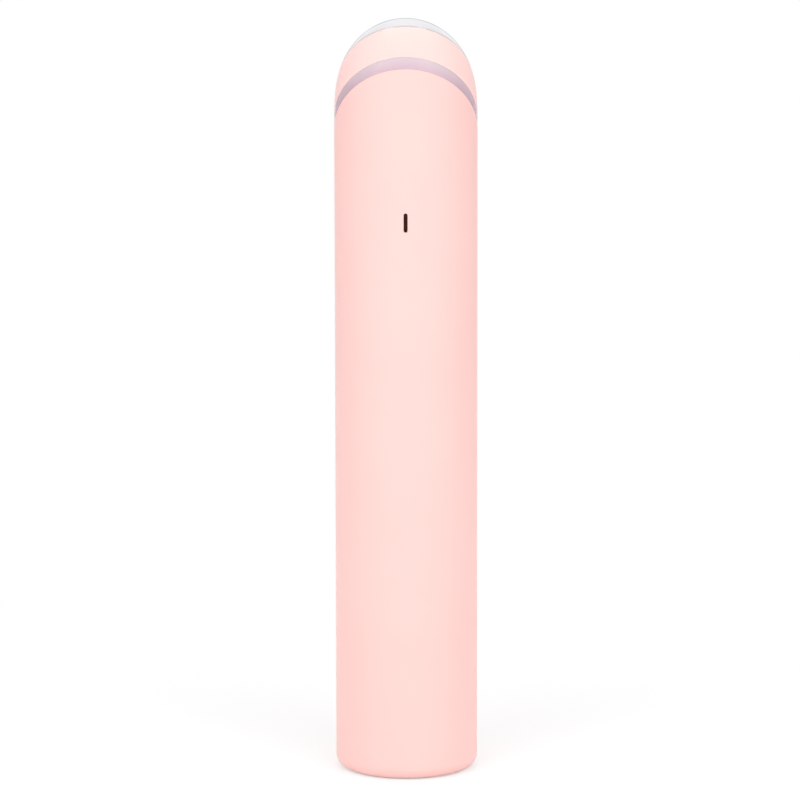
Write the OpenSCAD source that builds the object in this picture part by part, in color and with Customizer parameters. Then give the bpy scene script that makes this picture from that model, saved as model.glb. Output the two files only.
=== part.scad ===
// Slant-headed electric muscle stimulation wand for the face, in millimetres.
// The wand stands on its base with its axis along +Z and the origin at the base's centre.
// The electrode face looks towards +Y and up, the charge light is on the -Y side.

/* [Wand] */
// Diameter of the straight wand
body_d = 26; // [25:0.5:30]
// Height from the base to the crest of the head
total_h = 139.7; // [134:0.1:165]
// Wall of the outer sleeve
wall = 1.4; // [1.2:0.1:1.7]
// Thickness of the sleeve's closed base
base_t = 2.2; // [1.6:0.1:3]
// Radius of the rounded edge of the base
base_round = 2.3; // [1:0.1:2.8]

/* [Head] */
// Slant of the head against the wand, in degrees
tilt = 44; // [38:1:48]
// Height of the light ring, along the wand
glow_h = 2.2; // [1.6:0.1:3]
// Height of the coloured head shell, along the wand
shell_h = 6; // [5.4:0.1:6.6]
// Height of the whole head above the sleeve's rim, along the wand
head_h = 14.75; // [14.25:0.25:16]
// Squareness of the head's shoulder
shoulder = 3.95; // [3.4:0.05:4.6]
// Wall of the polished electrode
electrode_t = 0.8; // [0.6:0.1:1]
// Radius of the centre electrode, seen along the wand
centre_r = 7; // [6:0.25:7.5]
// Width of the insulating ring between the electrodes
insulator_w = 1.2; // [0.8:0.1:1.6]
// Number of lamps under the light ring
led_count = 8; // [4:1:12]

/* [Controls] */
// Distance of the push button's centre below the middle of the sleeve's rim
button_drop = 32.2; // [28:0.2:36]
// Diameter of the push button
button_d = 9; // [8:0.5:10]
// Travel of the push button
button_travel = 0.3; // [0.2:0.05:0.4]
// Length of the slot for the charge light
slot_l = 3.5; // [2.5:0.1:5]
// Width of the slot for the charge light
slot_w = 0.72; // [0.6:0.02:1.4]
// Distance of the slot's centre below the middle of the sleeve's rim
slot_drop = 15.2; // [12:0.2:17]

/* [Power and drive] */
// Diameter of the battery cell
cell_d = 10; // [9:0.5:11]
// Length of the battery cell
cell_l = 44; // [35:1:48]
// Diameter of the motor case
motor_d = 7; // [6:0.5:8]
// Length of the motor case
motor_l = 11; // [9:0.5:13]
// Thickness of the circuit boards
board_t = 1; // [0.8:0.1:1.2]

/* [Fits] */
// Wall of the inner frame
frame_wall = 1; // [0.8:0.1:1.2]
// Gap between the inner frame and the sleeve
slide_gap = 0.2; // [0.1:0.05:0.3]
// Gap round parts that locate each other
fit_gap = 0.1; // [0.05:0.01:0.15]
// Gap round the push button
button_gap = 0.15; // [0.1:0.01:0.2]

/* [Hidden] */
$fn = 96;
small_fn = 48;

// Colours
pink = [0.98, 0.82, 0.79];
mauve = [0.86, 0.72, 0.78];
steel = [0.85, 0.85, 0.87];
frame_white = [0.93, 0.93, 0.91];
board_green = [0.12, 0.42, 0.3];
brass = [0.83, 0.68, 0.35];
rubber_grey = [0.45, 0.45, 0.47];
ink = [0.12, 0.11, 0.11];

// Wand
body_r = body_d / 2;
bore_r = body_r - wall;
reach = 5 * body_r;
slope = tan(tilt);
merge = 0.3;
cut = 1;
contact_gap = 0.05;

// Head outline: radius at a height above the rim, and height at a radius
head_turns = 72;
function head_r(w, r = body_r, h = head_h) = r * sqrt(1 - pow(w / h, shoulder));
function head_w(r0, r = body_r, h = head_h) = h * pow(1 - pow(r0 / r, 2), 1 / shoulder);
crest_steps = 200;
crest = max([for (i = [0:crest_steps]) let (w = head_h * i / crest_steps) w + head_r(w) * slope]);
rim_z = total_h - crest;
shell_top = glow_h + shell_h;

// Electrodes and the ring between them
glow_set_in = 0.03;
inner_r = body_r - electrode_t;
inner_h = head_h - electrode_t / cos(tilt);
electrode_ri = centre_r + insulator_w;
lip_r = electrode_ri + 0.8;
lip_top = head_w(lip_r, inner_r, inner_h);
lip_low = lip_top - 0.22;
cap_t = 1.18;
cap_skirt_t = 0.8;
cap_point_r = 0.5;
cap_low = head_w(centre_r) - cap_t;
cap_skirt_low = lip_low + contact_gap;
insulator_recess = 0.15;

// Head shell and carrier, radii seen along the wand and heights above the rim
shell_wall = 1.6;
shell_rim_w = 1.15;
gasket_t = 0.5;
gasket_w = 0.9;
ledge_t = 1.2;
ledge_high = shell_top - 1.8;
ledge_low = ledge_high - ledge_t;
seat_r = head_r(shell_top) - shell_rim_w;
ledge_r = seat_r - gasket_w;
flange_under = 0.1;
carrier_high = shell_top - flange_under;
shoulder_r = lip_r - fit_gap;
post_r = centre_r - cap_skirt_t - fit_gap;

// Light ring, with its spigot and lugs
spigot_l = 3;
spigot_wall = 1;
spigot_r = bore_r - fit_gap;
spigot_ri = spigot_r - spigot_wall;
glow_step = 1.1;
glow_ri = spigot_ri - glow_step;
skirt_r = glow_ri - fit_gap;
skirt_wall = 1.2;
skirt_ri = skirt_r - skirt_wall;
lug_w = 4;
lug_h = 1;
lug_out = 0.4;
lug_low = 0.8 - spigot_l;

// Light board and the deck below it
light_board_high = -0.9;
light_board_low = light_board_high - board_t;
light_board_r = spigot_ri - slide_gap;
light_board_ri = 3;
deck_step = -spigot_l - slide_gap;
deck_t = 3;
deck_low = light_board_low - deck_t;
deck_hole_r = 4.2;
led_size = [1.6, 0.7, 0.4];
led_r = (skirt_r + spigot_ri) / 2;
boss_r = 1.9;
boss_bite = 0.4;
boss_ring_r = skirt_ri - boss_r + boss_bite;
boss_angles = [30, 150, 270];
screw_r = 0.8;
thread_gap = 0.02;
screw_head_r = 1.5;
screw_head_h = 1.1;
screw_depth = 3.6;
screw_spare = 0.4;
hex_depth = 0.55;
pad_drop = 0.2;
pad_low = deck_low - boss_r * slope - pad_drop;

// Electrode contacts
pin_r = 0.4;
pin_low = ledge_low - 1;
rim_pin_r = electrode_ri + 0.25;
skirt_slit = 6 * pin_r;

// Button and switch, stacked inwards from the bore
button_r = button_d / 2;
button_set_in = 0.02;
button_dish = 0.3;
button_dish_r = 30;
flange_w = 0.8;
flange_t = 0.5;
flange_r = button_r + flange_w;
flange_top = sqrt(pow(bore_r, 2) - pow(flange_r, 2)) - 0.2;
flange_low = flange_top - flange_t;
o_ring_r = 0.4;
o_ring_squeeze = 0.02;
o_ring_run_r = button_r + button_gap - o_ring_squeeze - o_ring_r;
o_ring_y = bore_r - 0.25;
groove_r = o_ring_run_r - o_ring_r;
groove_half = o_ring_r + fit_gap / 2;
stem_l = 0.2;
stem_y = flange_low - stem_l;
plunger_r = 1.7;
plunger_out = button_travel + 0.5;
plunger_in = 0.6;
plunger_y = stem_y - contact_gap;
switch_w = 6;
switch_h = 3.2;
switch_pocket = plunger_in + button_travel + 0.3;
button_z = rim_z - button_drop;

// Inner frame
frame_r = bore_r - slide_gap;
frame_ri = frame_r - frame_wall;
frame_mid = frame_r - frame_wall / 2;
plate_t = 1.8;
plate_top = base_t + plate_t;
charge_board_l = 14;
bulkhead_t = 3.2;
bulkhead_1 = plate_top + charge_board_l;
cell_z = bulkhead_1 + bulkhead_t;
pad_t = 0.8;
bulkhead_2 = cell_z + cell_l + pad_t;
bulkhead_hole_r = 1.2;
cell_r = cell_d / 2;
cell_y = cell_r - frame_ri;
nub_r = 0.4 * cell_r;
pad_edge = 0.5;
board_top_y = plunger_y - plunger_out - switch_h;
board_y = board_top_y - board_t;
split_y = board_y + board_t / 2;
split_gap = 0.1;
board_edge = 0.4;
board_half_w = sqrt(pow(frame_ri, 2) - pow(board_top_y, 2)) - board_edge;
board_low = bulkhead_1 + 0.3;
lead_room = 5.9;
board_high = rim_z + deck_low - board_top_y * slope - lead_room;
rib_t = 1.2;
rib_count = 3;
board_screw_r = 0.7;
board_screw_head_r = 1.3;
board_screw_head_h = 0.9;
board_screw_l = 4;
board_screw_x = board_half_w - board_screw_head_r - 1.1;
window_w = 8;
window_edge = 8;
button_clear = 0.3;

// Charge port: a common reversible socket, 8.94 by 3.26 outside
port_w = 8.94;
port_h = 3.26;
port_l = 7.3;
port_wall = 0.3;
port_set_in = 0.5;
port_hole_gap = 0.18;
port_end = port_set_in + port_l;
seal_w = 1;
seal_t = plate_t - 0.4;
tongue_w = 6.69;
tongue_t = 0.7;
tongue_l = 4.4;
tongue_set_in = 0.7;
plug_l = port_l - tongue_l - tongue_set_in;
charge_board_half_w = 7;
charge_y = port_h / 2;
rail_grip = 0.6;
rail_lip = 0.8;
rail_l = charge_board_l - 2;
charge_chip_size = [4, 0.9, 5];

// Parts on the main board, placed along it from the cell's lower end
core_size = [8.6, 9.4, 3.4];
core_bar = 1.6;
core_z = 0.26 * cell_l;
leg_size = [2.8, 0.4];
winding_r = 1.65;
winding_gap = 0.5;
chip_size = [5, 5, 0.9];
chip_z = 0.58 * cell_l;
can_r = 1.5;
can_l = 5.5;
can_x = 2.6;
can_z = 0.82 * cell_l;

// Charge light
slot_z = rim_z - slot_drop;
lens_gap = 0.05;
lens_set_in = 0.05;
lens_flange_t = 1;
lens_edge = 0.8;
lamp_board_half = [3.6, 4.6];
lamp_board_t = 0.6;
lamp_size = [0.8, 0.6, 1.6];
lamp_pad_edge = 0.6;
lamp_pad_y = -sqrt(pow(frame_ri, 2) - pow(lamp_board_half[0] + 0.5, 2));

// Motor, behind the boards
motor_r = motor_d / 2;
boot_t = 0.6;
boot_r = motor_r + boot_t;
boot_edge = 1;
motor_y = lamp_pad_y + lamp_board_t + 0.4 + boot_r;
motor_top = board_high;
motor_low = motor_top - motor_l;
shaft_r = 0.5;
shaft_run = 0.05;
shaft_in = 4;
shaft_out = 4;
shaft_end = 0.2;
weight_r = motor_r - 0.4;
weight_h = 3.4;
hub_r = 1.2;
cradle_t = 2;
cradle_in = 1.4;
cradle_mouth = 0.9 * motor_r;
cradle_z = [motor_low + cradle_in, motor_top - cradle_in - cradle_t];

// Wires
wire_r = 0.35;
wire_rise = 3;
wire_step = 1.5;
rim_lead_x = -2.4;
motor_lead_x = 1.2;
board_lead_x = [-3, -1.5, 1.5, 3];
board_lead_up = 6;

// Solids below are cut by planes parallel to the head's slanted rim
module slab(low, high) {
  translate([0, 0, rim_z + low]) rotate([-tilt, 0, 0])
    translate([-reach, -reach, 0]) cube([2 * reach, 2 * reach, (high - low) * cos(tilt)]);
}

// A round bar along the wand between two slanted planes
module slanted_bar(r, low, high) {
  intersection() {
    translate([0, 0, rim_z - reach]) cylinder(r = r, h = 2 * reach + head_h);
    slab(low, high);
  }
}

module slanted_tube(r, ri, low, high) {
  difference() {
    slanted_bar(r, low, high);
    translate([0, 0, rim_z - reach - cut]) cylinder(r = ri, h = 2 * (reach + cut) + head_h);
  }
}

// Moves its children to a spot on the slanted plane at one height above the rim
module on_slant(x, y, w) {
  translate([x, y, rim_z + w - y * slope]) rotate([-tilt, 0, 0]) children();
}

// Turns an outline of [radius, height] points about the wand, with heights measured
// from the slanted rim. A closed outline makes a ring, an open one is capped at both ends.
module slanted_turn(outline, ring = true) {
  n = len(outline);
  sides = [
    for (i = [0:head_turns - 1]) for (j = [0:(ring ? n - 1 : n - 2)])
      let (a = i * n, b = (i + 1) % head_turns * n, k = (j + 1) % n)
        [a + j, a + k, b + k, b + j]
  ];
  low_cap = [for (i = [0:head_turns - 1]) i * n];
  high_cap = [for (i = [head_turns - 1:-1:0]) i * n + n - 1];
  polyhedron(
    points = [
      for (i = [0:head_turns - 1]) let (a = 360 * i / head_turns) for (p = outline)
        [p[0] * cos(a), p[0] * sin(a), rim_z + p[1] - p[0] * sin(a) * slope]
    ],
    faces = ring ? sides : concat(sides, [low_cap, high_cap])
  );
}

// An obround bar along the wand, as the charge port is
module port_bar(w, h, l) {
  linear_extrude(l) obround(w, h);
}

module obround(w, h) {
  square([w - h, h], center = true);
  for (side = [-1, 1]) translate([side * (w - h) / 2, 0]) circle(d = h, $fn = small_fn);
}

// Points its children's +Z along +Y or -Y
module facing_front() rotate([-90, 0, 0]) children();
module facing_back() rotate([90, 0, 0]) children();

// A round wire through a few points
module wire(route) {
  for (i = [0:len(route) - 2]) let (d = route[i + 1] - route[i], run = norm(d))
    translate(route[i]) rotate([0, acos(d[2] / run), atan2(d[1], d[0])])
      cylinder(r = wire_r, h = run, $fn = 24);
  for (i = [1:1:len(route) - 2]) translate(route[i]) sphere(r = wire_r, $fn = 24);
}

// One-piece sleeve, closed at the base, with its slanted rim
module outer_sleeve() {
  color(pink) difference() {
    rotate_extrude() difference() {
      square([body_r, rim_z + body_r * slope]);
      translate([body_r - base_round, 0]) difference() {
        square(base_round);
        translate([0, base_round]) circle(base_round);
      }
    }
    translate([0, 0, base_t]) cylinder(r = bore_r, h = total_h);
    slab(0, reach);
    translate([0, 0, -cut])
      port_bar(port_w + 2 * port_hole_gap, port_h + 2 * port_hole_gap, base_t + 2 * cut);
    translate([0, 0, slot_z]) facing_back() linear_extrude(reach)
      rotate(90) obround(slot_l, slot_w);
    translate([0, 0, button_z]) facing_front()
      cylinder(r = button_r + button_gap, h = reach, $fn = small_fn);
    lugs(lug_out, fit_gap);
  }
}

// Two snap lugs on the sides of the light ring, or with a gap their pockets in the sleeve
module lugs(out, gap = 0) {
  intersection() {
    slanted_tube(spigot_r + out + gap, spigot_r - spigot_wall / 2, lug_low - gap,
      lug_low + lug_h + gap);
    translate([-reach, -lug_w / 2 - gap, 0]) cube([2 * reach, lug_w + 2 * gap, total_h]);
  }
}

// Clear ring that glows, with a spigot that snaps into the sleeve
module light_ring() {
  color(mauve) {
    slanted_tube(body_r - glow_set_in, glow_ri, 0, glow_h);
    slanted_tube(spigot_r, spigot_ri, -spigot_l, glow_h / 2);
    lugs(lug_out);
  }
}

// Coloured shell above the light ring, with the ledge that holds the carrier
module head_shell() {
  steps = 6;
  wall_ri = body_r - shell_wall;
  color(pink) slanted_turn(concat(
    [for (i = [0:steps]) let (w = glow_h + shell_h * i / steps) [head_r(w), w]],
    [[seat_r, shell_top], [seat_r, ledge_high], [ledge_r, ledge_high], [ledge_r, ledge_low],
      [wall_ri, ledge_low - wall_ri + ledge_r], [wall_ri, glow_h]]
  ));
}

// Polished metal ring over the shoulder of the head
module outer_electrode() {
  steps = 16;
  inner_steps = 6;
  top_w = head_w(electrode_ri);
  color(steel) slanted_turn(concat(
    [for (i = [0:steps]) let (w = shell_top + (top_w - shell_top) * (1 - pow(1 - i / steps, 1.3)))
      [head_r(w), w]],
    [[electrode_ri, lip_low], [lip_r, lip_low]],
    [for (i = [0:inner_steps]) let (w = lip_top + (shell_top - lip_top) * i / inner_steps)
      [head_r(w, inner_r, inner_h), w]]
  ));
}

// Plastic ring that keeps the two electrodes apart
module insulating_ring() {
  color(frame_white) slanted_turn([
    [centre_r + contact_gap, lip_low],
    [electrode_ri - contact_gap, lip_low],
    [electrode_ri - contact_gap, head_w(electrode_ri) - insulator_recess],
    [centre_r + contact_gap, head_w(centre_r) - insulator_recess]
  ]);
}

// Polished cap in the middle of the head
module centre_electrode() {
  steps = 8;
  hollow_r = centre_r - cap_skirt_t;
  color(steel) slanted_turn(concat(
    [[hollow_r, cap_low], [hollow_r, cap_skirt_low], [centre_r, cap_skirt_low]],
    [for (i = [0:steps]) let (r = centre_r + (cap_point_r - centre_r) * i / steps) [r, head_w(r)]]
  ), ring = false);
}

// Plug that carries both electrodes and clamps the head down on the light ring
module electrode_carrier() {
  color(frame_white) difference() {
    union() {
      slanted_bar(ledge_r - fit_gap, ledge_low, carrier_high - merge);
      slanted_bar(seat_r - fit_gap, ledge_high + gasket_t, carrier_high);
      slanted_bar(shoulder_r, ledge_low + merge, lip_low - contact_gap);
      slanted_bar(post_r, ledge_low + 2 * merge, cap_low - contact_gap);
      difference() {
        slanted_tube(skirt_r, skirt_ri, light_board_high, ledge_low + merge / 2);
        translate([-reach, -skirt_slit / 2, rim_z - reach]) cube([reach, skirt_slit, 2 * reach]);
      }
      for (a = boss_angles) intersection() {
        screw_line(a) boss_bar(boss_r);
        slab(light_board_high, ledge_low + cut);
      }
    }
    for (a = boss_angles) screw_line(a) translate([0, 0, light_board_high + screw_depth - reach])
      cylinder(r = screw_r + thread_gap, h = reach, $fn = small_fn);
    for (x = [0, -rim_pin_r]) translate([x, 0, rim_z])
      cylinder(r = pin_r + thread_gap, h = head_h, $fn = small_fn);
  }
}

// Puts its children on a screw's line, at the height of the sleeve's rim there
module screw_line(a) {
  y = boss_ring_r * sin(a);
  translate([boss_ring_r * cos(a), y, rim_z - y * slope]) children();
}

// A round bar that runs along a screw's line
module boss_bar(r) {
  translate([0, 0, -reach]) cylinder(r = r, h = 2 * reach, $fn = small_fn);
}

module head_gasket() {
  color(rubber_grey) slanted_tube(seat_r - fit_gap, ledge_r, ledge_high, ledge_high + gasket_t);
}

// Ring-shaped board under the light ring
module ring_light_board() {
  color(board_green) difference() {
    slanted_tube(light_board_r, light_board_ri, light_board_low, light_board_high);
    for (a = boss_angles) screw_line(a) boss_bar(screw_r + fit_gap);
  }
}

module ring_leds() {
  color("white") for (i = [0:led_count - 1]) let (a = 360 * (i + 0.5) / led_count)
    on_slant(led_r * cos(a), led_r * sin(a), light_board_high)
      rotate(atan2(cos(a) / cos(tilt), -sin(a)))
        translate([-led_size[0] / 2, -led_size[1] / 2, 0]) cube(led_size);
}

// Three screws that draw the head down, from under the deck
module head_screws() {
  color(steel) for (a = boss_angles) screw_line(a) translate([0, 0, pad_low]) {
    translate([0, 0, -screw_head_h]) difference() {
      cylinder(r = screw_head_r, h = screw_head_h, $fn = small_fn);
      translate([0, 0, -cut]) cylinder(r = screw_r, h = hex_depth + cut, $fn = 6);
    }
    cylinder(r = screw_r, h = light_board_high + screw_depth - screw_spare - pad_low,
      $fn = small_fn);
  }
}

module contact_pin(x, high) {
  color(brass) translate([x, 0, 0]) intersection() {
    translate([0, 0, rim_z + pin_low]) cylinder(r = pin_r, h = head_h, $fn = small_fn);
    slab(0, high);
  }
}

module centre_contact() contact_pin(0, cap_low);
module rim_contact() contact_pin(-rim_pin_r, lip_low);

// A half-round wall across the frame, up to the board's back
module bulkhead(z, t) {
  intersection() {
    translate([0, 0, z]) cylinder(r = frame_mid, h = t);
    translate([-reach, -reach, z]) cube([2 * reach, reach + board_y, t]);
  }
}

// Chassis: base plate, back wall, bulkheads, motor cradle and the slanted deck
module inner_frame() {
  color(frame_white) difference() {
    union() {
      translate([0, 0, base_t]) cylinder(r = frame_r, h = plate_t);
      intersection() {
        difference() {
          translate([0, 0, base_t]) cylinder(r = frame_r, h = total_h);
          translate([0, 0, base_t - cut]) cylinder(r = frame_ri, h = total_h + 2 * cut);
          slab(deck_step - merge, reach);
        }
        translate([-reach, -reach, 0]) cube([2 * reach, reach + split_y, total_h]);
      }
      slanted_tube(frame_r, deck_hole_r, deck_low, deck_step);
      slanted_tube(light_board_r, deck_hole_r, deck_low + merge, light_board_low);
      for (a = boss_angles) intersection() {
        screw_line(a) translate([0, 0, pad_low]) cylinder(r = boss_r, h = reach, $fn = small_fn);
        slab(deck_low - reach / 2, deck_low + 2 * merge);
      }
      bulkhead(bulkhead_1, bulkhead_t);
      bulkhead(bulkhead_2, bulkhead_t);
      for (i = [1:rib_count]) difference() {
        bulkhead(cell_z + cell_l * i / (rib_count + 1) - rib_t / 2, rib_t);
        translate([-reach, cell_y, 0]) cube([2 * reach, reach, total_h]);
      }
      for (z = cradle_z) bulkhead(z, cradle_t);
      lamp_pad();
      charge_rails();
    }
    translate([0, cell_y, cell_z]) cylinder(r = cell_r + contact_gap, h = cell_l + pad_t);
    for (z = [bulkhead_1, bulkhead_2]) translate([0, cell_y, z - cut])
      cylinder(r = bulkhead_hole_r, h = bulkhead_t + 2 * cut, $fn = small_fn);
    for (z = cradle_z) translate([0, motor_y, z - cut]) {
      cylinder(r = boot_r + contact_gap, h = cradle_t + 2 * cut, $fn = small_fn);
      translate([-cradle_mouth, 0, 0]) cube([2 * cradle_mouth, reach, cradle_t + 2 * cut]);
    }
    translate([0, 0, base_t - cut]) port_bar(port_w + 2 * seal_w + 2 * contact_gap,
      port_h + 2 * seal_w + 2 * contact_gap, plate_t + 2 * cut);
    for (a = boss_angles) screw_line(a) translate([0, 0, pad_low - cut])
      cylinder(r = screw_r + fit_gap, h = reach, $fn = small_fn);
    board_screw_lines() translate([0, 0, -board_t])
      cylinder(r = board_screw_r + thread_gap, h = board_t + board_screw_l, $fn = small_fn);
    translate([-slot_w - lens_edge, -reach, slot_z - slot_l / 2 - 2 * lens_edge])
      cube([2 * (slot_w + lens_edge), reach + lamp_pad_y + cut, slot_l + 4 * lens_edge]);
    translate([-lamp_board_half[0] - fit_gap, lamp_pad_y, slot_z - lamp_board_half[1] - fit_gap])
      cube([2 * (lamp_board_half[0] + fit_gap), lamp_board_t + fit_gap,
        2 * (lamp_board_half[1] + fit_gap)]);
  }
}

// Flat pad on the back wall for the charge light's board
module lamp_pad() {
  half_l = lamp_board_half[1] + lamp_pad_edge;
  intersection() {
    translate([0, 0, slot_z - half_l]) cylinder(r = frame_mid, h = 2 * half_l);
    translate([-reach, -reach, 0]) cube([2 * reach, reach + lamp_pad_y, total_h]);
  }
}

// Grooved rails for the charge board's long edges
module charge_rails() {
  difference() {
    intersection() {
      translate([0, 0, plate_top]) cylinder(r = frame_mid, h = rail_l);
      for (side = [-1, 1]) translate([side > 0 ? charge_board_half_w - rail_grip : -reach,
        charge_y - rail_lip, 0])
          cube([reach - charge_board_half_w + rail_grip, board_t + 2 * rail_lip, total_h]);
    }
    translate([-charge_board_half_w - contact_gap, charge_y - contact_gap, 0])
      cube([2 * (charge_board_half_w + contact_gap), board_t + 2 * contact_gap, total_h]);
  }
}

// Puts its children on the four board screws' lines, from the board's back into the frame
module board_screw_lines() {
  for (side = [-1, 1]) for (z = [bulkhead_1, bulkhead_2])
    translate([side * board_screw_x, board_y, z + bulkhead_t / 2]) facing_back() children();
}

module board_screws() {
  color(steel) board_screw_lines() translate([0, 0, -board_t]) {
    cylinder(r = board_screw_r, h = board_screw_l, $fn = small_fn);
    translate([0, 0, -board_screw_head_h]) difference() {
      cylinder(r = board_screw_head_r, h = board_screw_head_h, $fn = small_fn);
      translate([0, 0, -cut]) cylinder(r = board_screw_r, h = hex_depth + cut, $fn = 6);
    }
  }
}

// Front half of the chassis, over the boards
module board_cover() {
  color(frame_white) difference() {
    intersection() {
      difference() {
        translate([0, 0, plate_top]) cylinder(r = frame_r, h = total_h);
        translate([0, 0, plate_top - cut]) cylinder(r = frame_ri, h = total_h + 2 * cut);
        slab(deck_low, reach);
      }
      translate([-reach, split_y + split_gap, 0]) cube([2 * reach, reach, total_h]);
    }
    translate([0, 0, button_z]) facing_front()
      cylinder(r = flange_r + button_clear, h = reach, $fn = small_fn);
    translate([-window_w / 2, 0, cell_z + window_edge])
      cube([window_w, reach, cell_l - 2 * window_edge]);
  }
}

module battery_cell() {
  color([0.25, 0.35, 0.6]) translate([0, cell_y, cell_z]) {
    cylinder(r = cell_r, h = cell_l);
    cylinder(r = nub_r, h = cell_l + pad_t);
  }
}

module battery_pad() {
  color(ink) translate([0, cell_y, cell_z + cell_l]) difference() {
    cylinder(r = cell_r - pad_edge, h = pad_t);
    translate([0, 0, -cut]) cylinder(r = nub_r + pad_edge, h = pad_t + 2 * cut);
  }
}

module main_board() {
  color(board_green) difference() {
    translate([-board_half_w, board_y, board_low])
      cube([2 * board_half_w, board_t, board_high - board_low]);
    board_screw_lines() translate([0, 0, -board_t - cut])
      cylinder(r = board_screw_r + fit_gap, h = board_t + 2 * cut, $fn = small_fn);
  }
}

module charge_board() {
  color(board_green) translate([-charge_board_half_w, charge_y, plate_top])
    cube([2 * charge_board_half_w, board_t, charge_board_l]);
}

// Charge controller, between the port and the bulkhead
module charge_chip() {
  chip = charge_chip_size;
  color(ink) translate([-chip[0] / 2, charge_y - chip[1], (port_end + bulkhead_1 - chip[2]) / 2])
    cube(chip);
}

module port_shell() {
  color(steel) translate([0, 0, port_set_in]) difference() {
    port_bar(port_w, port_h, port_l);
    translate([0, 0, -cut])
      port_bar(port_w - 2 * port_wall, port_h - 2 * port_wall, port_l + 2 * cut);
  }
}

module port_tongue() {
  color(ink) translate([0, 0, port_end - plug_l]) {
    port_bar(port_w - 2 * port_wall - contact_gap, port_h - 2 * port_wall - contact_gap, plug_l);
    translate([-tongue_w / 2, -tongue_t / 2, -tongue_l]) cube([tongue_w, tongue_t, tongue_l]);
  }
}

module port_seal() {
  color(rubber_grey) translate([0, 0, base_t]) difference() {
    port_bar(port_w + 2 * seal_w, port_h + 2 * seal_w, seal_t);
    translate([0, 0, -cut]) port_bar(port_w + contact_gap, port_h + contact_gap, seal_t + 2 * cut);
  }
}

// Puts its children on the board's front face, with +Z away from the board
module on_board(x, z) translate([x, board_top_y, z]) facing_front() children();

// Step-up transformer: ferrite core round a wound bobbin
module pulse_transformer() {
  w = core_size[0];
  l = core_size[1];
  h = core_size[2];
  color([0.3, 0.28, 0.27]) on_board(0, cell_z + core_z) {
    for (side = [-1, 1]) translate([-w / 2, side * (l - core_bar) / 2 - core_bar / 2, 0])
      cube([w, core_bar, h]);
    for (side = [-1, 1]) translate([side * (w - core_bar) / 2 - core_bar / 2, -l / 2, 0])
      cube([core_bar, l, h]);
    translate([-leg_size[0] / 2, (core_bar - l) / 2, leg_size[1]])
      cube([leg_size[0], l - core_bar, h - 2 * leg_size[1]]);
    translate([0, 0, h / 2]) rotate([90, 0, 0])
      cylinder(r = winding_r, h = l - 2 * (core_bar + winding_gap), center = true, $fn = small_fn);
  }
}

module controller_chip() {
  color(ink) on_board(0, cell_z + chip_z)
    translate([-chip_size[0] / 2, -chip_size[1] / 2, 0]) cube(chip_size);
}

module capacitors() {
  color([0.2, 0.25, 0.4]) for (side = [-1, 1])
    on_board(side * can_x, cell_z + can_z) translate([0, 0, can_r]) rotate([90, 0, 0])
      cylinder(r = can_r, h = can_l, center = true, $fn = small_fn);
}

module switch_body() {
  color(ink) on_board(0, button_z) difference() {
    translate([-switch_w / 2, -switch_w / 2, 0]) cube([switch_w, switch_w, switch_h]);
    translate([0, 0, switch_h - switch_pocket])
      cylinder(r = plunger_r + contact_gap, h = switch_pocket + cut, $fn = small_fn);
  }
}

module switch_plunger() {
  color(frame_white) on_board(0, button_z) translate([0, 0, switch_h - plunger_in])
    cylinder(r = plunger_r, h = plunger_in + plunger_out, $fn = small_fn);
}

// Push button, flush with the sleeve and lightly dished
module power_button() {
  color(pink) difference() {
    intersection() {
      translate([0, 0, button_z]) facing_front() rotate_extrude() polygon([
        [0, stem_y], [plunger_r, stem_y], [plunger_r, flange_low], [flange_r, flange_low],
        [flange_r, flange_top], [button_r, flange_top], [button_r, o_ring_y - groove_half],
        [groove_r, o_ring_y - groove_half], [groove_r, o_ring_y + groove_half],
        [button_r, o_ring_y + groove_half], [button_r, body_r + cut], [0, body_r + cut]
      ]);
      translate([0, 0, button_z - 2 * button_r])
        cylinder(r = body_r - button_set_in, h = 4 * button_r);
    }
    translate([0, body_r - button_dish + button_dish_r, button_z]) sphere(button_dish_r);
  }
}

module button_seal() {
  color(rubber_grey) translate([0, o_ring_y, button_z]) facing_front() rotate_extrude()
    translate([o_ring_run_r, 0]) circle(o_ring_r, $fn = small_fn);
}

// Dark window of the charge light, with the flange that holds it behind the slot
module indicator_lens() {
  half_w = slot_w / 2 + lens_edge;
  half_l = slot_l / 2 + lens_edge;
  flange_y = sqrt(pow(bore_r, 2) - pow(half_w, 2)) - lens_gap - lens_flange_t;
  color(ink) translate([0, 0, slot_z]) facing_back() intersection() {
    translate([0, 0, flange_y]) {
      linear_extrude(reach) rotate(90) obround(slot_l - 2 * lens_gap, slot_w - 2 * lens_gap);
      translate([-half_w, -half_l, 0]) cube([2 * half_w, 2 * half_l, lens_flange_t]);
    }
    rotate([90, 0, 0]) cylinder(r = body_r - lens_set_in, h = 4 * slot_l, center = true);
  }
}

module indicator_board() {
  color(board_green) translate([-lamp_board_half[0], lamp_pad_y, slot_z - lamp_board_half[1]])
    cube([2 * lamp_board_half[0], lamp_board_t, 2 * lamp_board_half[1]]);
}

module indicator_led() {
  color("white")
    translate([-lamp_size[0] / 2, lamp_pad_y - lamp_size[1], slot_z - lamp_size[2] / 2])
      cube(lamp_size);
}

// Motor case with its bearing bore, open towards the weight
module motor_case() {
  color(steel) translate([0, motor_y, motor_low]) difference() {
    cylinder(r = motor_r, h = motor_l);
    translate([0, 0, -cut])
      cylinder(r = shaft_r + shaft_run, h = shaft_in + shaft_end + cut, $fn = small_fn);
  }
}

module motor_boot() {
  color(rubber_grey) translate([0, motor_y, motor_low]) difference() {
    translate([0, 0, boot_edge]) cylinder(r = boot_r, h = motor_l - 2 * boot_edge);
    cylinder(r = motor_r, h = motor_l);
  }
}

module motor_shaft() {
  color(steel) translate([0, motor_y, motor_low - shaft_out])
    cylinder(r = shaft_r, h = shaft_out + shaft_in, $fn = small_fn);
}

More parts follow.
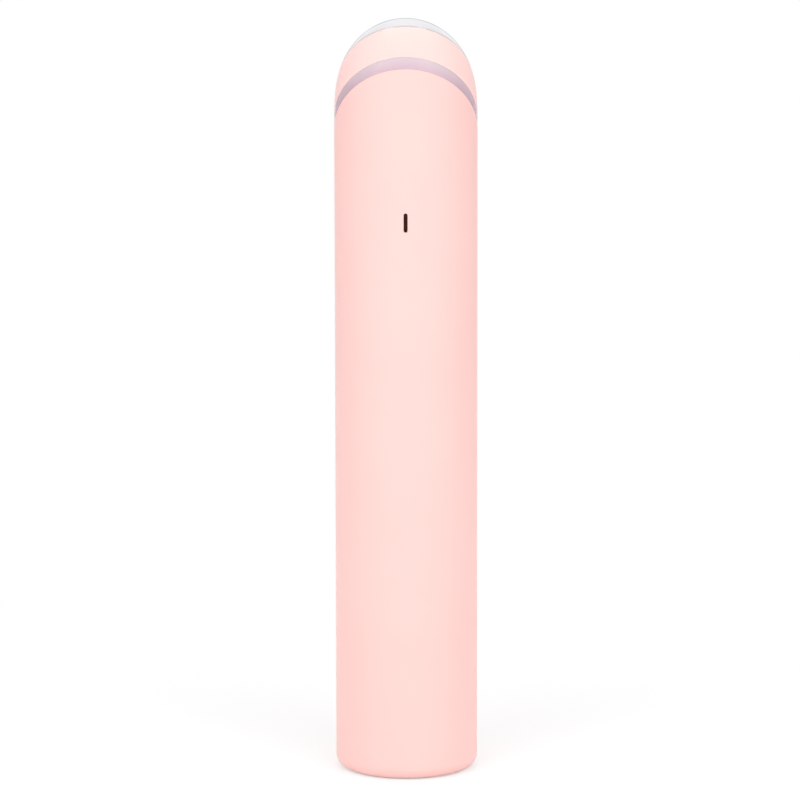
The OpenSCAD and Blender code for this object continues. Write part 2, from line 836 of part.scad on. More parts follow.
// Half-round weight, pressed on the shaft below the motor
module eccentric_weight() {
  color(brass) translate([0, motor_y, motor_low - shaft_out]) difference() {
    union() {
      cylinder(r = hub_r, h = weight_h, $fn = small_fn);
      intersection() {
        cylinder(r = weight_r, h = weight_h, $fn = small_fn);
        translate([-reach, -reach, 0]) cube([2 * reach, reach, weight_h]);
      }
    }
    translate([0, 0, -cut])
      cylinder(r = shaft_r + thread_gap, h = weight_h + 2 * cut, $fn = small_fn);
  }
}

// Wires from the main board's top edge to the two electrode contacts
module electrode_leads() {
  pin_z = rim_z + pin_low;
  low_z = board_high + wire_rise;
  high_z = low_z + wire_step;
  turn_z = rim_z + glow_h + 2 * wire_r;
  x = rim_lead_x;
  color("firebrick") {
    wire([[0, split_y, board_high], [0, split_y, high_z], [0, 0, high_z], [0, 0, pin_z]]);
    wire([[x, split_y, board_high], [x, split_y, low_z], [x, 0, low_z], [x, 0, turn_z],
      [-rim_pin_r, 0, turn_z], [-rim_pin_r, 0, pin_z]]);
  }
}

module battery_leads() {
  high_z = bulkhead_2 + bulkhead_t + wire_step;
  low_z = bulkhead_1 - wire_step;
  color("firebrick") {
    wire([[0, cell_y, cell_z + cell_l + pad_t], [0, cell_y, high_z], [0, board_y, high_z]]);
    wire([[0, cell_y, cell_z], [0, cell_y, low_z], [0, charge_y, low_z]]);
  }
}

// Wires from the charge board to the foot of the main board
module board_leads() {
  out_y = board_top_y + 2 * wire_r + contact_gap;
  low_z = bulkhead_1 - wire_rise;
  high_z = board_low + board_lead_up;
  color("firebrick") for (x = board_lead_x)
    wire([[x, charge_y + board_t, low_z], [x, out_y, low_z], [x, out_y, high_z],
      [x, board_top_y, high_z]]);
}

module motor_leads() {
  high_z = motor_top + wire_step;
  color("firebrick") for (x = [-motor_lead_x, motor_lead_x])
    wire([[x, motor_y, motor_top], [x, motor_y, high_z], [x, split_y, high_z],
      [x, split_y, board_high]]);
}

module light_lead() {
  x = (light_board_ri + deck_hole_r) / 2;
  high_z = board_high + wire_rise;
  color("firebrick") difference() {
    wire([[x, split_y, board_high], [x, split_y, high_z], [x, 0, high_z], [x, 0, rim_z]]);
    slab(light_board_low, reach);
  }
}

outer_sleeve();
light_ring();
head_shell();
outer_electrode();
insulating_ring();
centre_electrode();
electrode_carrier();
head_gasket();
ring_light_board();
ring_leds();
head_screws();
centre_contact();
rim_contact();
inner_frame();
board_cover();
battery_cell();
battery_pad();
main_board();
board_screws();
charge_board();
charge_chip();
port_shell();
port_tongue();
port_seal();
pulse_transformer();
controller_chip();
capacitors();
switch_body();
switch_plunger();
power_button();
button_seal();
indicator_lens();
indicator_board();
indicator_led();
motor_case();
motor_boot();
motor_shaft();
eccentric_weight();
electrode_leads();
battery_leads();
board_leads();
motor_leads();
light_lead();
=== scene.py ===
# A slant-headed electric muscle stimulation wand for the face, standing on its base.
# Sizes are in millimetres, as on the maker's drawing, and become metres as a mesh is made.

from math import atan2, cos, hypot, inf, pi, radians, sin, sqrt, tan

import bmesh
import bpy
from mathutils import Matrix, Vector


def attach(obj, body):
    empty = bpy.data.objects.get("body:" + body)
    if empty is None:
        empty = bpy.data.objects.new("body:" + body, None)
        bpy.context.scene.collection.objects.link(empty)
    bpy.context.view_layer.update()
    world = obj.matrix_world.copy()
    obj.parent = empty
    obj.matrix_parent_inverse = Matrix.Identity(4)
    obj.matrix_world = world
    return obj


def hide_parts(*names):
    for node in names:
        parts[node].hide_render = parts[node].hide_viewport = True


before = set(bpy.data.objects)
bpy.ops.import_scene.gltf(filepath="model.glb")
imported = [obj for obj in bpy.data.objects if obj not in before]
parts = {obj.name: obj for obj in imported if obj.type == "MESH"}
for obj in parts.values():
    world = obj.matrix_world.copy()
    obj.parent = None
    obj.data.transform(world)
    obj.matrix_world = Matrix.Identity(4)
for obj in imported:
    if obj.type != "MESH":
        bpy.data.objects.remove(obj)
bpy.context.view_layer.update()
mm = 0.001


# Inner frame and board cover
# The chassis that everything else is fastened to, and the half shell that closes it over
# the boards. Both are injection moulded in a matt off-white plastic, faintly grained by
# the mould, and snapped together along the parting line.


class Tone:
    """One socket of a node tree. Sums and products of tones add their Math nodes."""

    def __init__(self, tree, socket=None):
        self.tree, self.socket = tree, socket

    def node(self, kind, settings=None, inputs=None, out=None):
        """Adds any other node: its settings first, then its sockets, by name or number."""
        made = self.tree.nodes.new(kind)
        for name, value in (settings or {}).items():
            setattr(made, name, value)
        for name, value in (inputs or {}).items():
            socket = made.inputs[name] if isinstance(name, int) else next(
                s for s in made.inputs if s.name == name and s.enabled)
            if isinstance(value, Tone):
                self.tree.links.new(value.socket, socket)
            else:
                socket.default_value = value
        ends = [s for s in made.outputs if s.enabled]
        end = next((s for s in ends if s.name == out), None) if out else (ends or [None])[0]
        return Tone(self.tree, end)

    def math(self, operation, *values):
        return self.node("ShaderNodeMath", {"operation": operation}, dict(enumerate(values)))

    def __add__(self, other):
        return self.math("ADD", self, other)

    def __radd__(self, other):
        return self.math("ADD", other, self)

    def __sub__(self, other):
        return self.math("SUBTRACT", self, other)

    def __rsub__(self, other):
        return self.math("SUBTRACT", other, self)

    def __mul__(self, other):
        return self.math("MULTIPLY", self, other)

    def __rmul__(self, other):
        return self.math("MULTIPLY", other, self)

    def __truediv__(self, other):
        return self.math("DIVIDE", self, other)

    def __pow__(self, other):
        return self.math("POWER", self, other)

    def __abs__(self):
        return self.math("ABSOLUTE", self)

    def floor(self):
        return self.math("FLOOR", self)

    def between(self, low, high):
        """0 below low, 1 above high, and smooth in between."""
        return self.node("ShaderNodeMapRange", {"interpolation_type": "SMOOTHSTEP"},
                         {"Value": self, "From Min": low, "From Max": high})

    def part(self, axis):
        """One coordinate of a place."""
        return self.node("ShaderNodeSeparateXYZ", {}, {"Vector": self}, axis)

    def reach(self, x, y):
        """Distance, in millimetres, from an upright axis through x, y."""
        east, north = self.part("X") / mm - x, self.part("Y") / mm - y
        return (east * east + north * north) ** 0.5

    def grain(self, scale, detail=2.0, rough=0.5, stretch=None):
        """Noise over a place, with scale in grains per metre, about 0.5 on average."""
        place = self
        if stretch:
            place = self.node("ShaderNodeMapping", {}, {"Vector": self, "Scale": stretch})
        return self.node("ShaderNodeTexNoise", {}, {
            "Vector": place, "Scale": scale, "Detail": detail, "Roughness": rough})

    def blend(self, low, high):
        """The colour low where this tone is 0, and high where it is 1."""
        return self.node("ShaderNodeMix", {"data_type": "RGBA"},
                         {"Factor": self, "A": low, "B": high})

    def bumps(self, depth, strength=1.0, over=None):
        """A normal from this tone's relief, which is depth millimetres deep."""
        inputs = {"Height": self, "Distance": depth * mm, "Strength": strength}
        if over:
            inputs["Normal"] = over
        return self.node("ShaderNodeBump", {}, inputs)


def colour(red, green, blue):
    """A colour from its screen values of 0 to 255."""
    def linear(c):
        c /= 255
        return c / 12.92 if c <= 0.04045 else ((c + 0.055) / 1.055) ** 2.4
    return linear(red), linear(green), linear(blue), 1.0


def new_finish(name):
    """An empty finish and the place on the piece that its pattern reads."""
    finish = bpy.data.materials.new(name)
    finish.use_nodes = True
    finish.node_tree.nodes.clear()
    place = Tone(finish.node_tree).node("ShaderNodeTexCoord", {}, {}, "Object")
    return finish, place


def lay(place, **sockets):
    """Closes a finish with its surface shader, whose sockets are given in words."""
    words = {name.replace("_", " ").title().replace("Ior", "IOR"): value
             for name, value in sockets.items()}
    surface = place.node("ShaderNodeBsdfPrincipled", {}, words)
    place.node("ShaderNodeOutputMaterial", {}, {"Surface": surface})


def moulded(name, low, high, rough, level=0.5, fine=2600, deep=0.012):
    """A moulded plastic: a faint cloud of colour, flow lines and a fine mould grain."""
    finish, place = new_finish(name)
    cloud = place.grain(90, 3)
    flow = place.grain(420, 2, 0.6, stretch=(1, 1, 0.12))
    grain = place.grain(fine, 2)
    relief = grain.bumps(deep, 0.35, over=flow.bumps(1.6 * deep, 0.15))
    lay(place, base_color=(0.7 * cloud + 0.3 * flow).between(0.35, 0.65).blend(low, high),
        roughness=rough + 0.1 * cloud + 0.06 * grain, normal=relief, specular_ior_level=level)
    return finish


def finish_node(node, finish):
    """Gives a part that keeps its shape from the drawing its better finish."""
    parts[node].data.materials.clear()
    parts[node].data.materials.append(finish)


frame_white = moulded("frame_plastic", colour(227, 226, 222), colour(232, 231, 227), 0.46)
finish_node("inner_frame", frame_white)
finish_node("board_cover", frame_white)


# Battery cell and its pad
# A round lithium cell behind the boards: a drawn steel can in a blue shrink sleeve that
# curls over both ends, with the raised cap bare. A ring of closed-cell foam, glued on
# above it, keeps it from rattling.
cell_y, cell_z = -5.4, 21.2
cell_r, cell_l = 5.0, 44.0
curl_r = cell_r - 1.25
groove_r = cell_r - 0.12
cap_r, cap_rise = 2.0, 0.8


def new_tree(name, **inputs):
    """A node tree and its inputs, each named and given its kind."""
    tree = bpy.data.node_groups.new(name, "GeometryNodeTree")
    for word, kind in inputs.items():
        tree.interface.new_socket(word, in_out="INPUT", socket_type="NodeSocket" + kind)
    tree.interface.new_socket("piece", in_out="OUTPUT", socket_type="NodeSocketGeometry")
    given = tree.nodes.new("NodeGroupInput")
    return Tone(tree), *(Tone(tree, given.outputs[i]) for i in range(len(inputs)))


def end_tree(shape, finish, smooth=True):
    """Ends a node tree with real, finished geometry."""
    if smooth:
        shape = shape.node("GeometryNodeSetShadeSmooth", {}, {"Geometry": shape})
    real = shape.node("GeometryNodeRealizeInstances", {}, {"Geometry": shape})
    done = shape.node("GeometryNodeSetMaterial", {}, {"Geometry": real, "Material": finish})
    tree = shape.tree
    tree.links.new(done.socket, tree.nodes.new("NodeGroupOutput").inputs[0])
    return tree


def turning_tree():
    """Turns an outline about an upright axis. An outline's points hold a radius and a
    height, and each goes down by the slant as it comes to the front."""
    start, outline, turns, slant, axis, finish = new_tree(
        "turning", outline="Geometry", turns="Int", slant="Float", axis="Vector", finish="Material")
    count = start.node("GeometryNodeAttributeDomainSize", {}, {"Geometry": outline}, "Point Count")
    grid = start.node("GeometryNodeMeshGrid", {}, {
        "Size X": 1.0, "Size Y": 1.0, "Vertices X": turns + 1, "Vertices Y": count}, "Mesh")
    spot = start.node("GeometryNodeInputPosition")
    angle = (spot.part("X") + 0.5) * (2 * pi)
    row = (spot.part("Y") + 0.5) * (count - 1)
    place = start.node(
        "GeometryNodeSampleIndex", {"data_type": "FLOAT_VECTOR", "domain": "POINT"},
        {"Geometry": outline, "Value": spot, "Index": row.math("ROUND", row)})
    r, height = place.part("X"), place.part("Y")
    x, y = r * angle.math("COSINE", angle), r * angle.math("SINE", angle)
    there = start.node("ShaderNodeCombineXYZ", {}, {"X": x, "Y": y, "Z": height - y * slant})
    moved = start.node("ShaderNodeVectorMath", {"operation": "ADD"}, {0: there, 1: axis})
    shape = start.node("GeometryNodeSetPosition", {}, {"Geometry": grid, "Position": moved})
    whole = start.node("GeometryNodeMergeByDistance", {}, {"Geometry": shape, "Distance": 1e-6})
    return end_tree(whole, finish)


def grown(name, mesh, tree, finish, **given):
    """The plain mesh that a node tree grows from a mesh, with the tree's named inputs."""
    made = bpy.data.objects.new(name, mesh)
    bpy.context.scene.collection.objects.link(made)
    growing = made.modifiers.new("growing", "NODES")
    growing.node_group = tree
    given["finish"] = finish
    for socket in tree.interface.items_tree:
        if socket.in_out == "INPUT" and socket.name in given:
            growing[socket.identifier] = given[socket.name]
    now = bpy.context.evaluated_depsgraph_get()
    made.data = bpy.data.meshes.new_from_object(made.evaluated_get(now))
    made.modifiers.remove(growing)
    made.data.name = name
    made.data.materials.clear()
    made.data.materials.append(finish)
    made.data.polygons.foreach_set("material_index", [0] * len(made.data.polygons))
    return made


def turned(name, outline, finish, low=0.0, lean=0.0, at=(0, 0), turns=96, tree=turning_tree()):
    """A piece turned from an outline of (radius, height above low)."""
    mesh = bpy.data.meshes.new(name)
    mesh.from_pydata([(r * mm, (low + w) * mm, 0) for r, w in outline], [], [])
    return grown(name, mesh, tree, finish, turns=turns, slant=lean,
                 axis=(at[0] * mm, at[1] * mm, 0.0))


def eased(corners, closed=True):
    """Rounds an outline's corners, each (radius, height, easing), and steadies the
    surface beside each rounding with a point of its own, where there is room."""
    beside, steps = 2.2, 5
    count, line = len(corners), []
    for i, (r, w, ease) in enumerate(corners):
        if not ease:
            line.append((r, w))
            continue
        arms = []
        for near in (corners[i - 1], corners[(i + 1) % count]):
            far = hypot(near[0] - r, near[1] - w)
            arms.append(((near[0] - r) / far, (near[1] - w) / far, far))
        (ax, ay, a_far), (bx, by, b_far) = arms
        if a_far > 4 * ease:
            line.append((r + beside * ease * ax, w + beside * ease * ay))
        for k in range(steps + 1):
            t = k / steps
            p, q = ease * (1 - t) ** 2, ease * t ** 2
            line.append((r + p * ax + q * bx, w + p * ay + q * by))
        if b_far > 4 * ease:
            line.append((r + beside * ease * bx, w + beside * ease * by))
    return line + [line[0]] if closed else line


def joined(piece, body, slot, *nodes):
    """Says which body a piece moves with and what it stands for. Its finish, slot, is not used."""
    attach(piece, body)
    if nodes:
        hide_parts(*nodes)


def shrink_wrapped():
    """Blue film with fine wrinkles along it and a welded seam, and bare steel inside."""
    finish, place = new_finish("cell_case")
    bare = 1 - place.reach(0, cell_y).between(curl_r - 0.03, curl_r + 0.05)
    wrinkle = place.grain(700, 3, 0.6, stretch=(1, 1, 0.25))
    seam_x = 1.2
    seam = abs(place.part("X") / mm - seam_x).between(0.05, 0.12)
    wrap = (wrinkle.between(0.3, 0.7) * seam).blend(colour(44, 78, 140), colour(66, 104, 170))
    lay(place, base_color=bare.blend(wrap, colour(198, 198, 202)), metallic=bare,
        roughness=0.24 + 0.16 * wrinkle, normal=wrinkle.bumps(0.02, 0.3))
    return finish


def closed_cell_foam():
    """Dark foam with an open-pored skin."""
    finish, place = new_finish("foam")
    pores = place.node("ShaderNodeTexVoronoi", {}, {"Vector": place, "Scale": 4200.0}, "Distance")
    lay(place, base_color=pores.between(0.05, 0.5).blend(colour(26, 26, 28), colour(60, 60, 62)),
        roughness=0.82 + 0.12 * pores, normal=pores.bumps(0.06, 0.7), specular_ior_level=0.25)
    return finish


film = 0.05
end_drop = 0.12
cell = turned("battery_can", [(0, 0)] + eased([
    (curl_r - film, 0.04, 0), (curl_r, 0, 0), (cell_r, 0, 0.5), (cell_r, cell_l - 1.9, 0),
    (groove_r, cell_l - 1.6, 0.2), (groove_r, cell_l - 1.3, 0.2), (cell_r, cell_l - 1.0, 0.2),
    (cell_r, cell_l, 0.45), (curl_r, cell_l, 0.05), (curl_r - film, cell_l - end_drop, 0.05),
    (cap_r + 0.3, cell_l - end_drop, 0.1), (cap_r, cell_l, 0.15),
    (cap_r, cell_l + cap_rise, 0.25)], False) + [(0, cell_l + cap_rise)],
    shrink_wrapped(), low=cell_z, at=(0, cell_y), turns=128)
joined(cell, "housing", "cell_case", "battery_cell")
finish_node("battery_pad", closed_cell_foam())


# Charge port
# The common reversible socket in the middle of the base. Its mouth is a stainless shell,
# drawn and rolled at the lip, round a black tongue with gold contacts on both faces. A
# silicone ring seals the shell to the sleeve's floor.
port_w, port_h, port_low, port_l = 8.94, 3.26, 0.5, 7.3
port_wall, lip = 0.3, 0.09
tongue_w, tongue_t, tongue_low, tongue_high = 6.69, 0.7, 1.2, 5.6
contact_w, contact_t, contact_l, contact_z = 0.26, 0.04, 3.1, 3.2
contact_pitch, contacts_across = 0.5, 12


def bright_metal(name, low, high, rough, stretch):
    """Drawn, stamped or turned metal, with streaks the way it was worked."""
    finish, place = new_finish(name)
    cloud = place.grain(160, 3)
    streak = place.grain(1500, 2, 0.6, stretch=stretch)
    lay(place, base_color=cloud.between(0.3, 0.7).blend(low, high), metallic=1.0,
        roughness=rough + 0.1 * cloud + 0.14 * streak, normal=streak.bumps(0.006, 0.3))
    return finish


def rubbery(name, low, high):
    """Silicone: soft, slightly see-through, with dust in its pores."""
    finish, place = new_finish(name)
    dust = place.grain(3400, 3, 0.7)
    cloud = place.grain(120, 2)
    lay(place, base_color=(0.6 * cloud + 0.4 * dust).between(0.35, 0.65).blend(low, high),
        roughness=0.42 + 0.14 * dust, normal=dust.bumps(0.008, 0.3), specular_ior_level=0.4,
        subsurface_weight=0.1, subsurface_radius=(0.0006, 0.0006, 0.0006))
    return finish


def obround_edge(turn, half_w, half_h):
    """Where a ray at this turn from the middle leaves an obround, round ends either way."""
    c, s = cos(turn), sin(turn)
    if half_w < half_h:
        y, x = obround_edge(pi / 2 - turn, half_h, half_w)
        return x, y
    if abs(s) > 1e-9:
        x = half_h / abs(s) * c
        if abs(x) <= half_w - half_h:
            return x, half_h if s > 0 else -half_h
    d = (half_w - half_h) * (1 if c > 0 else -1)
    reach = d * c + sqrt(max(half_h ** 2 - (d * s) ** 2, 0))
    return reach * c, reach * s


def new_piece(name, bm, finish, smooth=True, turn_faces=True):
    """Puts a finished mesh into the scene, with its faces turned outwards if need be."""
    if turn_faces:
        bmesh.ops.recalc_face_normals(bm, faces=bm.faces)
    mesh = bpy.data.meshes.new(name)
    bm.to_mesh(mesh)
    bm.free()
    mesh.polygons.foreach_set("use_smooth", [smooth] * len(mesh.polygons))
    mesh.materials.append(finish)
    made = bpy.data.objects.new(name, mesh)
    bpy.context.scene.collection.objects.link(made)
    return made


def skin(bm, rings, closed=False):
    """Lays faces between rings of points, each as many as the next."""
    pairs = list(zip(rings, rings[1:])) + ([(rings[-1], rings[0])] if closed else [])
    for a, b in pairs:
        for i in range(len(a)):
            k = (i + 1) % len(a)
            bm.faces.new((a[i], a[k], b[k], b[i]))


def capped(bm, rings):
    """Closes a skin with a flat face at both ends."""
    skin(bm, rings)
    bm.faces.new(rings[0][::-1])
    bm.faces.new(rings[-1])


def full_turn(count):
    """Angles all the way round."""
    return [2 * pi * i / count for i in range(count)]


def quarter(steps):
    """Angles from nought to a right angle, for a rounded edge."""
    return [pi / 2 * i / steps for i in range(steps + 1)]


def port_ring(bm, spread, z):
    """A ring of the port's outline, spread outwards."""
    edge = [obround_edge(a, port_w / 2 + spread, port_h / 2 + spread) for a in full_turn(96)]
    return [bm.verts.new((x * mm, y * mm, z * mm)) for x, y in edge]


def block(bm, low, high, ease=0.0, segments=2):
    """A block between two corners, with its edges eased."""
    grown_block = bmesh.ops.create_cube(bm, size=1.0)["verts"]
    for v in grown_block:
        for axis in range(3):
            v.co[axis] = (high[axis] if v.co[axis] > 0 else low[axis]) * mm
    if ease:
        edges = list({edge for v in grown_block for edge in v.link_edges})
        bmesh.ops.bevel(bm, geom=edges, offset=ease * mm, segments=segments,
                        affect="EDGES", profile=0.5)


def setting_tree():
    """Sets a piece out at every spot, turned as the spot says."""
    start, spots, unit, finish = new_tree(
        "setting out", spots="Geometry", unit="Object", finish="Material")
    shape = start.node("GeometryNodeObjectInfo", {}, {"Object": unit}, "Geometry")
    turn = start.node("GeometryNodeInputNamedAttribute", {"data_type": "FLOAT_VECTOR"},
                      {"Name": "turn"}, "Attribute")
    facing = start.node("FunctionNodeEulerToRotation", {}, {"Euler": turn})
    laid = start.node("GeometryNodeInstanceOnPoints", {}, {
        "Points": spots, "Instance": shape, "Rotation": facing})
    return end_tree(laid, finish, smooth=False)


def set_out(name, unit, spots, finish, tree=setting_tree()):
    """Like pieces, each at a spot of (place in millimetres, turn as Euler angles)."""
    mesh = bpy.data.meshes.new(name)
    mesh.from_pydata([[c * mm for c in place] for place, turn in spots], [], [])
    turns = mesh.attributes.new("turn", "FLOAT_VECTOR", "POINT")
    turns.data.foreach_set("vector", [c for place, turn in spots for c in turn])
    made = grown(name, mesh, tree, finish, unit=unit)
    bpy.data.objects.remove(unit)
    return made


steel = bright_metal("steel", colour(196, 196, 200), colour(212, 212, 216), 0.2, (1, 1, 0.05))
gold = bright_metal("gold_contact", colour(214, 176, 92), colour(228, 194, 114), 0.14, (1, 1, 0.3))
black = moulded("black_plastic", colour(26, 26, 28), colour(36, 36, 38), 0.36)
grey_silicone = rubbery("silicone", colour(116, 116, 120), colour(134, 134, 138))

port_high = port_low + port_l
shell_rows = [(-port_wall, port_high), (0, port_high), (0, port_low + 3 * lip)]
shell_rows += [(-lip * (1 - cos(t)), port_low + lip * (1 - sin(t))) for t in quarter(4)]
shell_rows += [(-port_wall + lip * (1 - cos(t)), port_low + lip * (1 - sin(t)))
               for t in quarter(4)[::-1]]
shell_rows += [(-port_wall, port_low + 3 * lip)]
bm = bmesh.new()
skin(bm, [port_ring(bm, spread, z) for spread, z in shell_rows], closed=True)
joined(new_piece("port_mouth", bm, steel), "housing", "steel", "port_shell")

bm = bmesh.new()
chamfer = 0.1
block(bm, (-tongue_w / 2, -tongue_t / 2, tongue_low),
      (tongue_w / 2, tongue_t / 2, tongue_high + chamfer), 0.14, 3)
snug = -port_wall - 0.025
capped(bm, [port_ring(bm, snug - chamfer, tongue_high), port_ring(bm, snug, tongue_high + chamfer),
            port_ring(bm, snug, port_high)])
tongue = new_piece("port_middle", bm, black, smooth=False)
joined(tongue, "housing", "black_plastic", "port_tongue")

bm = bmesh.new()
block(bm, (-contact_w / 2, -contact_t / 2, -contact_l / 2),
      (contact_w / 2, contact_t / 2, contact_l / 2), 0.015, 1)
pad = new_piece("contact_pad", bm, gold)
first = -contact_pitch * (contacts_across - 1) / 2
spots = [((first + contact_pitch * i, face * tongue_t / 2, contact_z), (0, 0, 0))
         for i in range(contacts_across) for face in (-1, 1)]
contacts = set_out("port_contacts", pad, spots, gold)
joined(contacts, "housing", "gold_contact")
finish_node("port_seal", grey_silicone)


# Circuit boards
# The long main board under the cover, the charge board in its rails, the small board of
# the charge light and the ring-shaped one under the light ring. Glass-fibre slabs with
# green solder mask over copper traces, tinned pads, and bare fibre at the cut edges.


def solder_mask():
    """Green lacquer over copper tracks and tinned holes, with painted shade in the holes, and bare
    fibre at the edges.
    """
    finish, place = new_finish("circuit_board")
    x, z = place.part("X") / mm, place.part("Z") / mm
    via_x, via_z = 1.24, 1.8

    def chance(*cell):
        """A fixed random number for each cell of the board."""
        seed = place.node("ShaderNodeCombineXYZ", {}, dict(zip("XYZ", cell)))
        return place.node("ShaderNodeTexWhiteNoise", {}, {"Vector": seed}, "Value")

    def traces(across, along, pitch, run):
        """Thin tracks, each broken off at random along its way."""
        lane = (across / pitch).floor()
        stretch = (along / run + lane * 0.37).floor()
        off = abs(across / pitch - lane - 0.5)
        return (1 - off.between(0.12, 0.18)) * chance(lane, stretch, pitch).between(0.6, 0.61)

    track = place.math("MAXIMUM", traces(x, z, 0.62, 6.5), traces(z, x, 0.9, 3.4))
    column, row = (x / via_x).floor(), (z / via_z).floor()
    east, north = x / via_x - column - 0.5, z / via_z - row - 0.5
    from_via = (east * east * via_x ** 2 + north * north * via_z ** 2) ** 0.5
    via = (1 - from_via.between(0.24, 0.28)) * chance(column, row, 5.0).between(0.7, 0.71)
    tin = via * from_via.between(0.09, 0.11)
    facing = place.node("ShaderNodeTexCoord", {}, {}, "Normal")
    edge = abs(facing.part("X")).between(0.9, 0.95)
    cloud = place.grain(140, 3)
    mask = track.blend(cloud.blend(colour(16, 84, 54), colour(22, 94, 62)), colour(40, 122, 78))
    # Painted shade: the middle of each via is near black, for the dark inside of its hole.
    face = via.blend(mask, (0.01, 0.012, 0.01, 1))
    weave = place.grain(2400, 1, stretch=(1, 0.4, 1))
    lay(place, base_color=edge.blend(tin.blend(face, colour(206, 204, 196)), colour(190, 178, 120)),
        metallic=tin, roughness=0.26 + 0.1 * cloud + 0.3 * edge,
        normal=weave.bumps(0.006, 0.2, over=track.bumps(0.03, 0.5)))
    return finish


boards = solder_mask()
for node in ("main_board", "charge_board", "indicator_board"):
    finish_node(node, boards)


# Chips
# The controller on the main board and the charge controller behind the port. Black
# moulded epoxy with a dimple at the first leg, and tinned legs bent down to the board.
board_y, charge_y = 5.368, 1.63
chip_half, chip_z, chip_t = 2.1, 46.72, 0.8
charger_half_w, charger_half_l, charger_z = 1.55, 2.35, 12.9
stand_off = 0.1
leg_w, leg_in = 0.22, 0.05
chip_legs_a_side, chip_pitch = 8, 0.5
charger_legs_a_side, charger_pitch = 6, 0.7


def moulded_epoxy(name, dimples):
    """Black epoxy with a paler dimple at each of these places, x and z."""
    finish, place = new_finish(name)
    fine = place.grain(5200, 3, 0.7)
    cloud = place.grain(260, 2)
    x, z = place.part("X") / mm, place.part("Z") / mm
    one, other = (1 - ((x - dimple_x) ** 2 + (z - dimple_z) ** 2).between(0.05, 0.09)
                  for dimple_x, dimple_z in dimples)
    dot = one + other
    tint = cloud.blend(colour(30, 30, 32), colour(38, 38, 41))
    lay(place, base_color=dot.blend(tint, colour(88, 88, 90)), roughness=0.5 + 0.14 * fine,
        normal=fine.bumps(0.012, 0.4))
    return finish


epoxy = moulded_epoxy("chip_epoxy", ((-1.5, chip_z + 1.5), (-1.1, charger_z + 1.6)))
for name, node, low, high in (
        ("controller_body", "controller_chip",
         (-chip_half, board_y + stand_off, chip_z - chip_half),
         (chip_half, board_y + stand_off + chip_t, chip_z + chip_half)),
        ("charger_body", "charge_chip",
         (-charger_half_w, charge_y - stand_off - chip_t, charger_z - charger_half_l),
         (charger_half_w, charge_y - stand_off, charger_z + charger_half_l))):
    bm = bmesh.new()
    block(bm, low, high, 0.12)
    joined(new_piece(name, bm, epoxy, smooth=False), "housing", "black_plastic", node)

bm = bmesh.new()
leg_bends = [(0, 0.42), (0.16, 0.42), (0.26, 0.09), (0.45, 0.09), (0.45, 0.01), (0.2, 0.01),
             (0.1, 0.33), (0, 0.33)]
capped(bm, [[bm.verts.new((x * mm, y * mm, z * mm)) for x, y in leg_bends]
            for z in (-leg_w / 2, leg_w / 2)])
leg = new_piece("chip_leg", bm, steel, smooth=False)
spots = []
root = chip_half - leg_in
for i in range(chip_legs_a_side):
    step = chip_pitch * (i - (chip_legs_a_side - 1) / 2)
    spots += [((root, board_y, chip_z + step), (0, 0, 0)),
              ((-root, board_y, chip_z + step), (0, pi, 0)),
              ((step, board_y, chip_z - root), (0, pi / 2, 0)),
              ((step, board_y, chip_z + root), (0, -pi / 2, 0))]
root = charger_half_w - leg_in
for i in range(charger_legs_a_side):
    z = charger_z + charger_pitch * (i - (charger_legs_a_side - 1) / 2)
    spots += [((root, charge_y, z), (pi, 0, 0)), ((-root, charge_y, z), (0, 0, pi))]
legs = set_out("chip_legs", leg, spots, steel)
joined(legs, "housing", "steel")


# Pulse transformer
# Steps the pulses up for the skin. A sintered ferrite frame, glued from two halves,
# round a leg with one layer of enamelled wire wound between two bobbin cheeks.
core_z, core_high = 32.64, 3.4
core_w, core_l, core_bar = 8.6, 9.4, 1.6
core_leg_r = 1.25
coil_y = board_y + core_high / 2
coil_r, coil_l, coil_turns, coil_wire_r = 1.5, 5.0, 20.0, 0.125


def sintered():
    """Speckled dark ferrite, with a line of glue where its halves meet."""
    finish, place = new_finish("ferrite")
    speck = place.grain(2800, 4, 0.75)
    cloud = place.grain(240, 2)
    glue = 1 - abs(place.part("Z") / mm - core_z).between(0.05, 0.12)
    stone = (0.5 * cloud + 0.5 * speck).between(0.35, 0.65).blend(
        colour(48, 45, 45), colour(74, 70, 69))
    lay(place, base_color=(0.7 * glue).blend(stone, colour(150, 120, 84)),
        roughness=0.55 + 0.2 * speck, normal=speck.bumps(0.02, 0.5), specular_ior_level=0.45)
    return finish


def enamelled_copper():
    """Copper wire under a clear, orange-brown lacquer."""
    finish, place = new_finish("enamelled_copper")
    cloud = place.grain(900, 2)
    lay(place, base_color=cloud.blend(colour(176, 88, 44), colour(204, 112, 60)), metallic=0.9,
        roughness=0.22 + 0.12 * cloud, normal=cloud.bumps(0.006, 0.2))
    return finish


def round_wire(route, radius, sides):
    """A round wire along a curve in a node tree, closed at both ends."""
    gauge = route.node("GeometryNodeCurvePrimitiveCircle", {}, {
        "Resolution": sides, "Radius": radius})
    return route.node("GeometryNodeCurveToMesh", {}, {
        "Curve": route, "Profile Curve": gauge, "Fill Caps": True})


def winding_tree():
    """Winds one layer of round wire upwards about an upright axis, from its foot."""
    start, _, turns, radius, length, wire, foot, finish = new_tree(
        "winding", start="Geometry", turns="Float", radius="Float", length="Float",
        wire="Float", foot="Vector", finish="Material")
    helix = start.node("GeometryNodeCurveSpiral", {}, {
        "Resolution": 28, "Rotations": turns, "Start Radius": radius, "End Radius": radius,
        "Height": length})
    placed = start.node("GeometryNodeTransform", {}, {"Geometry": helix, "Translation": foot})
    return end_tree(round_wire(placed, wire, 8), finish)


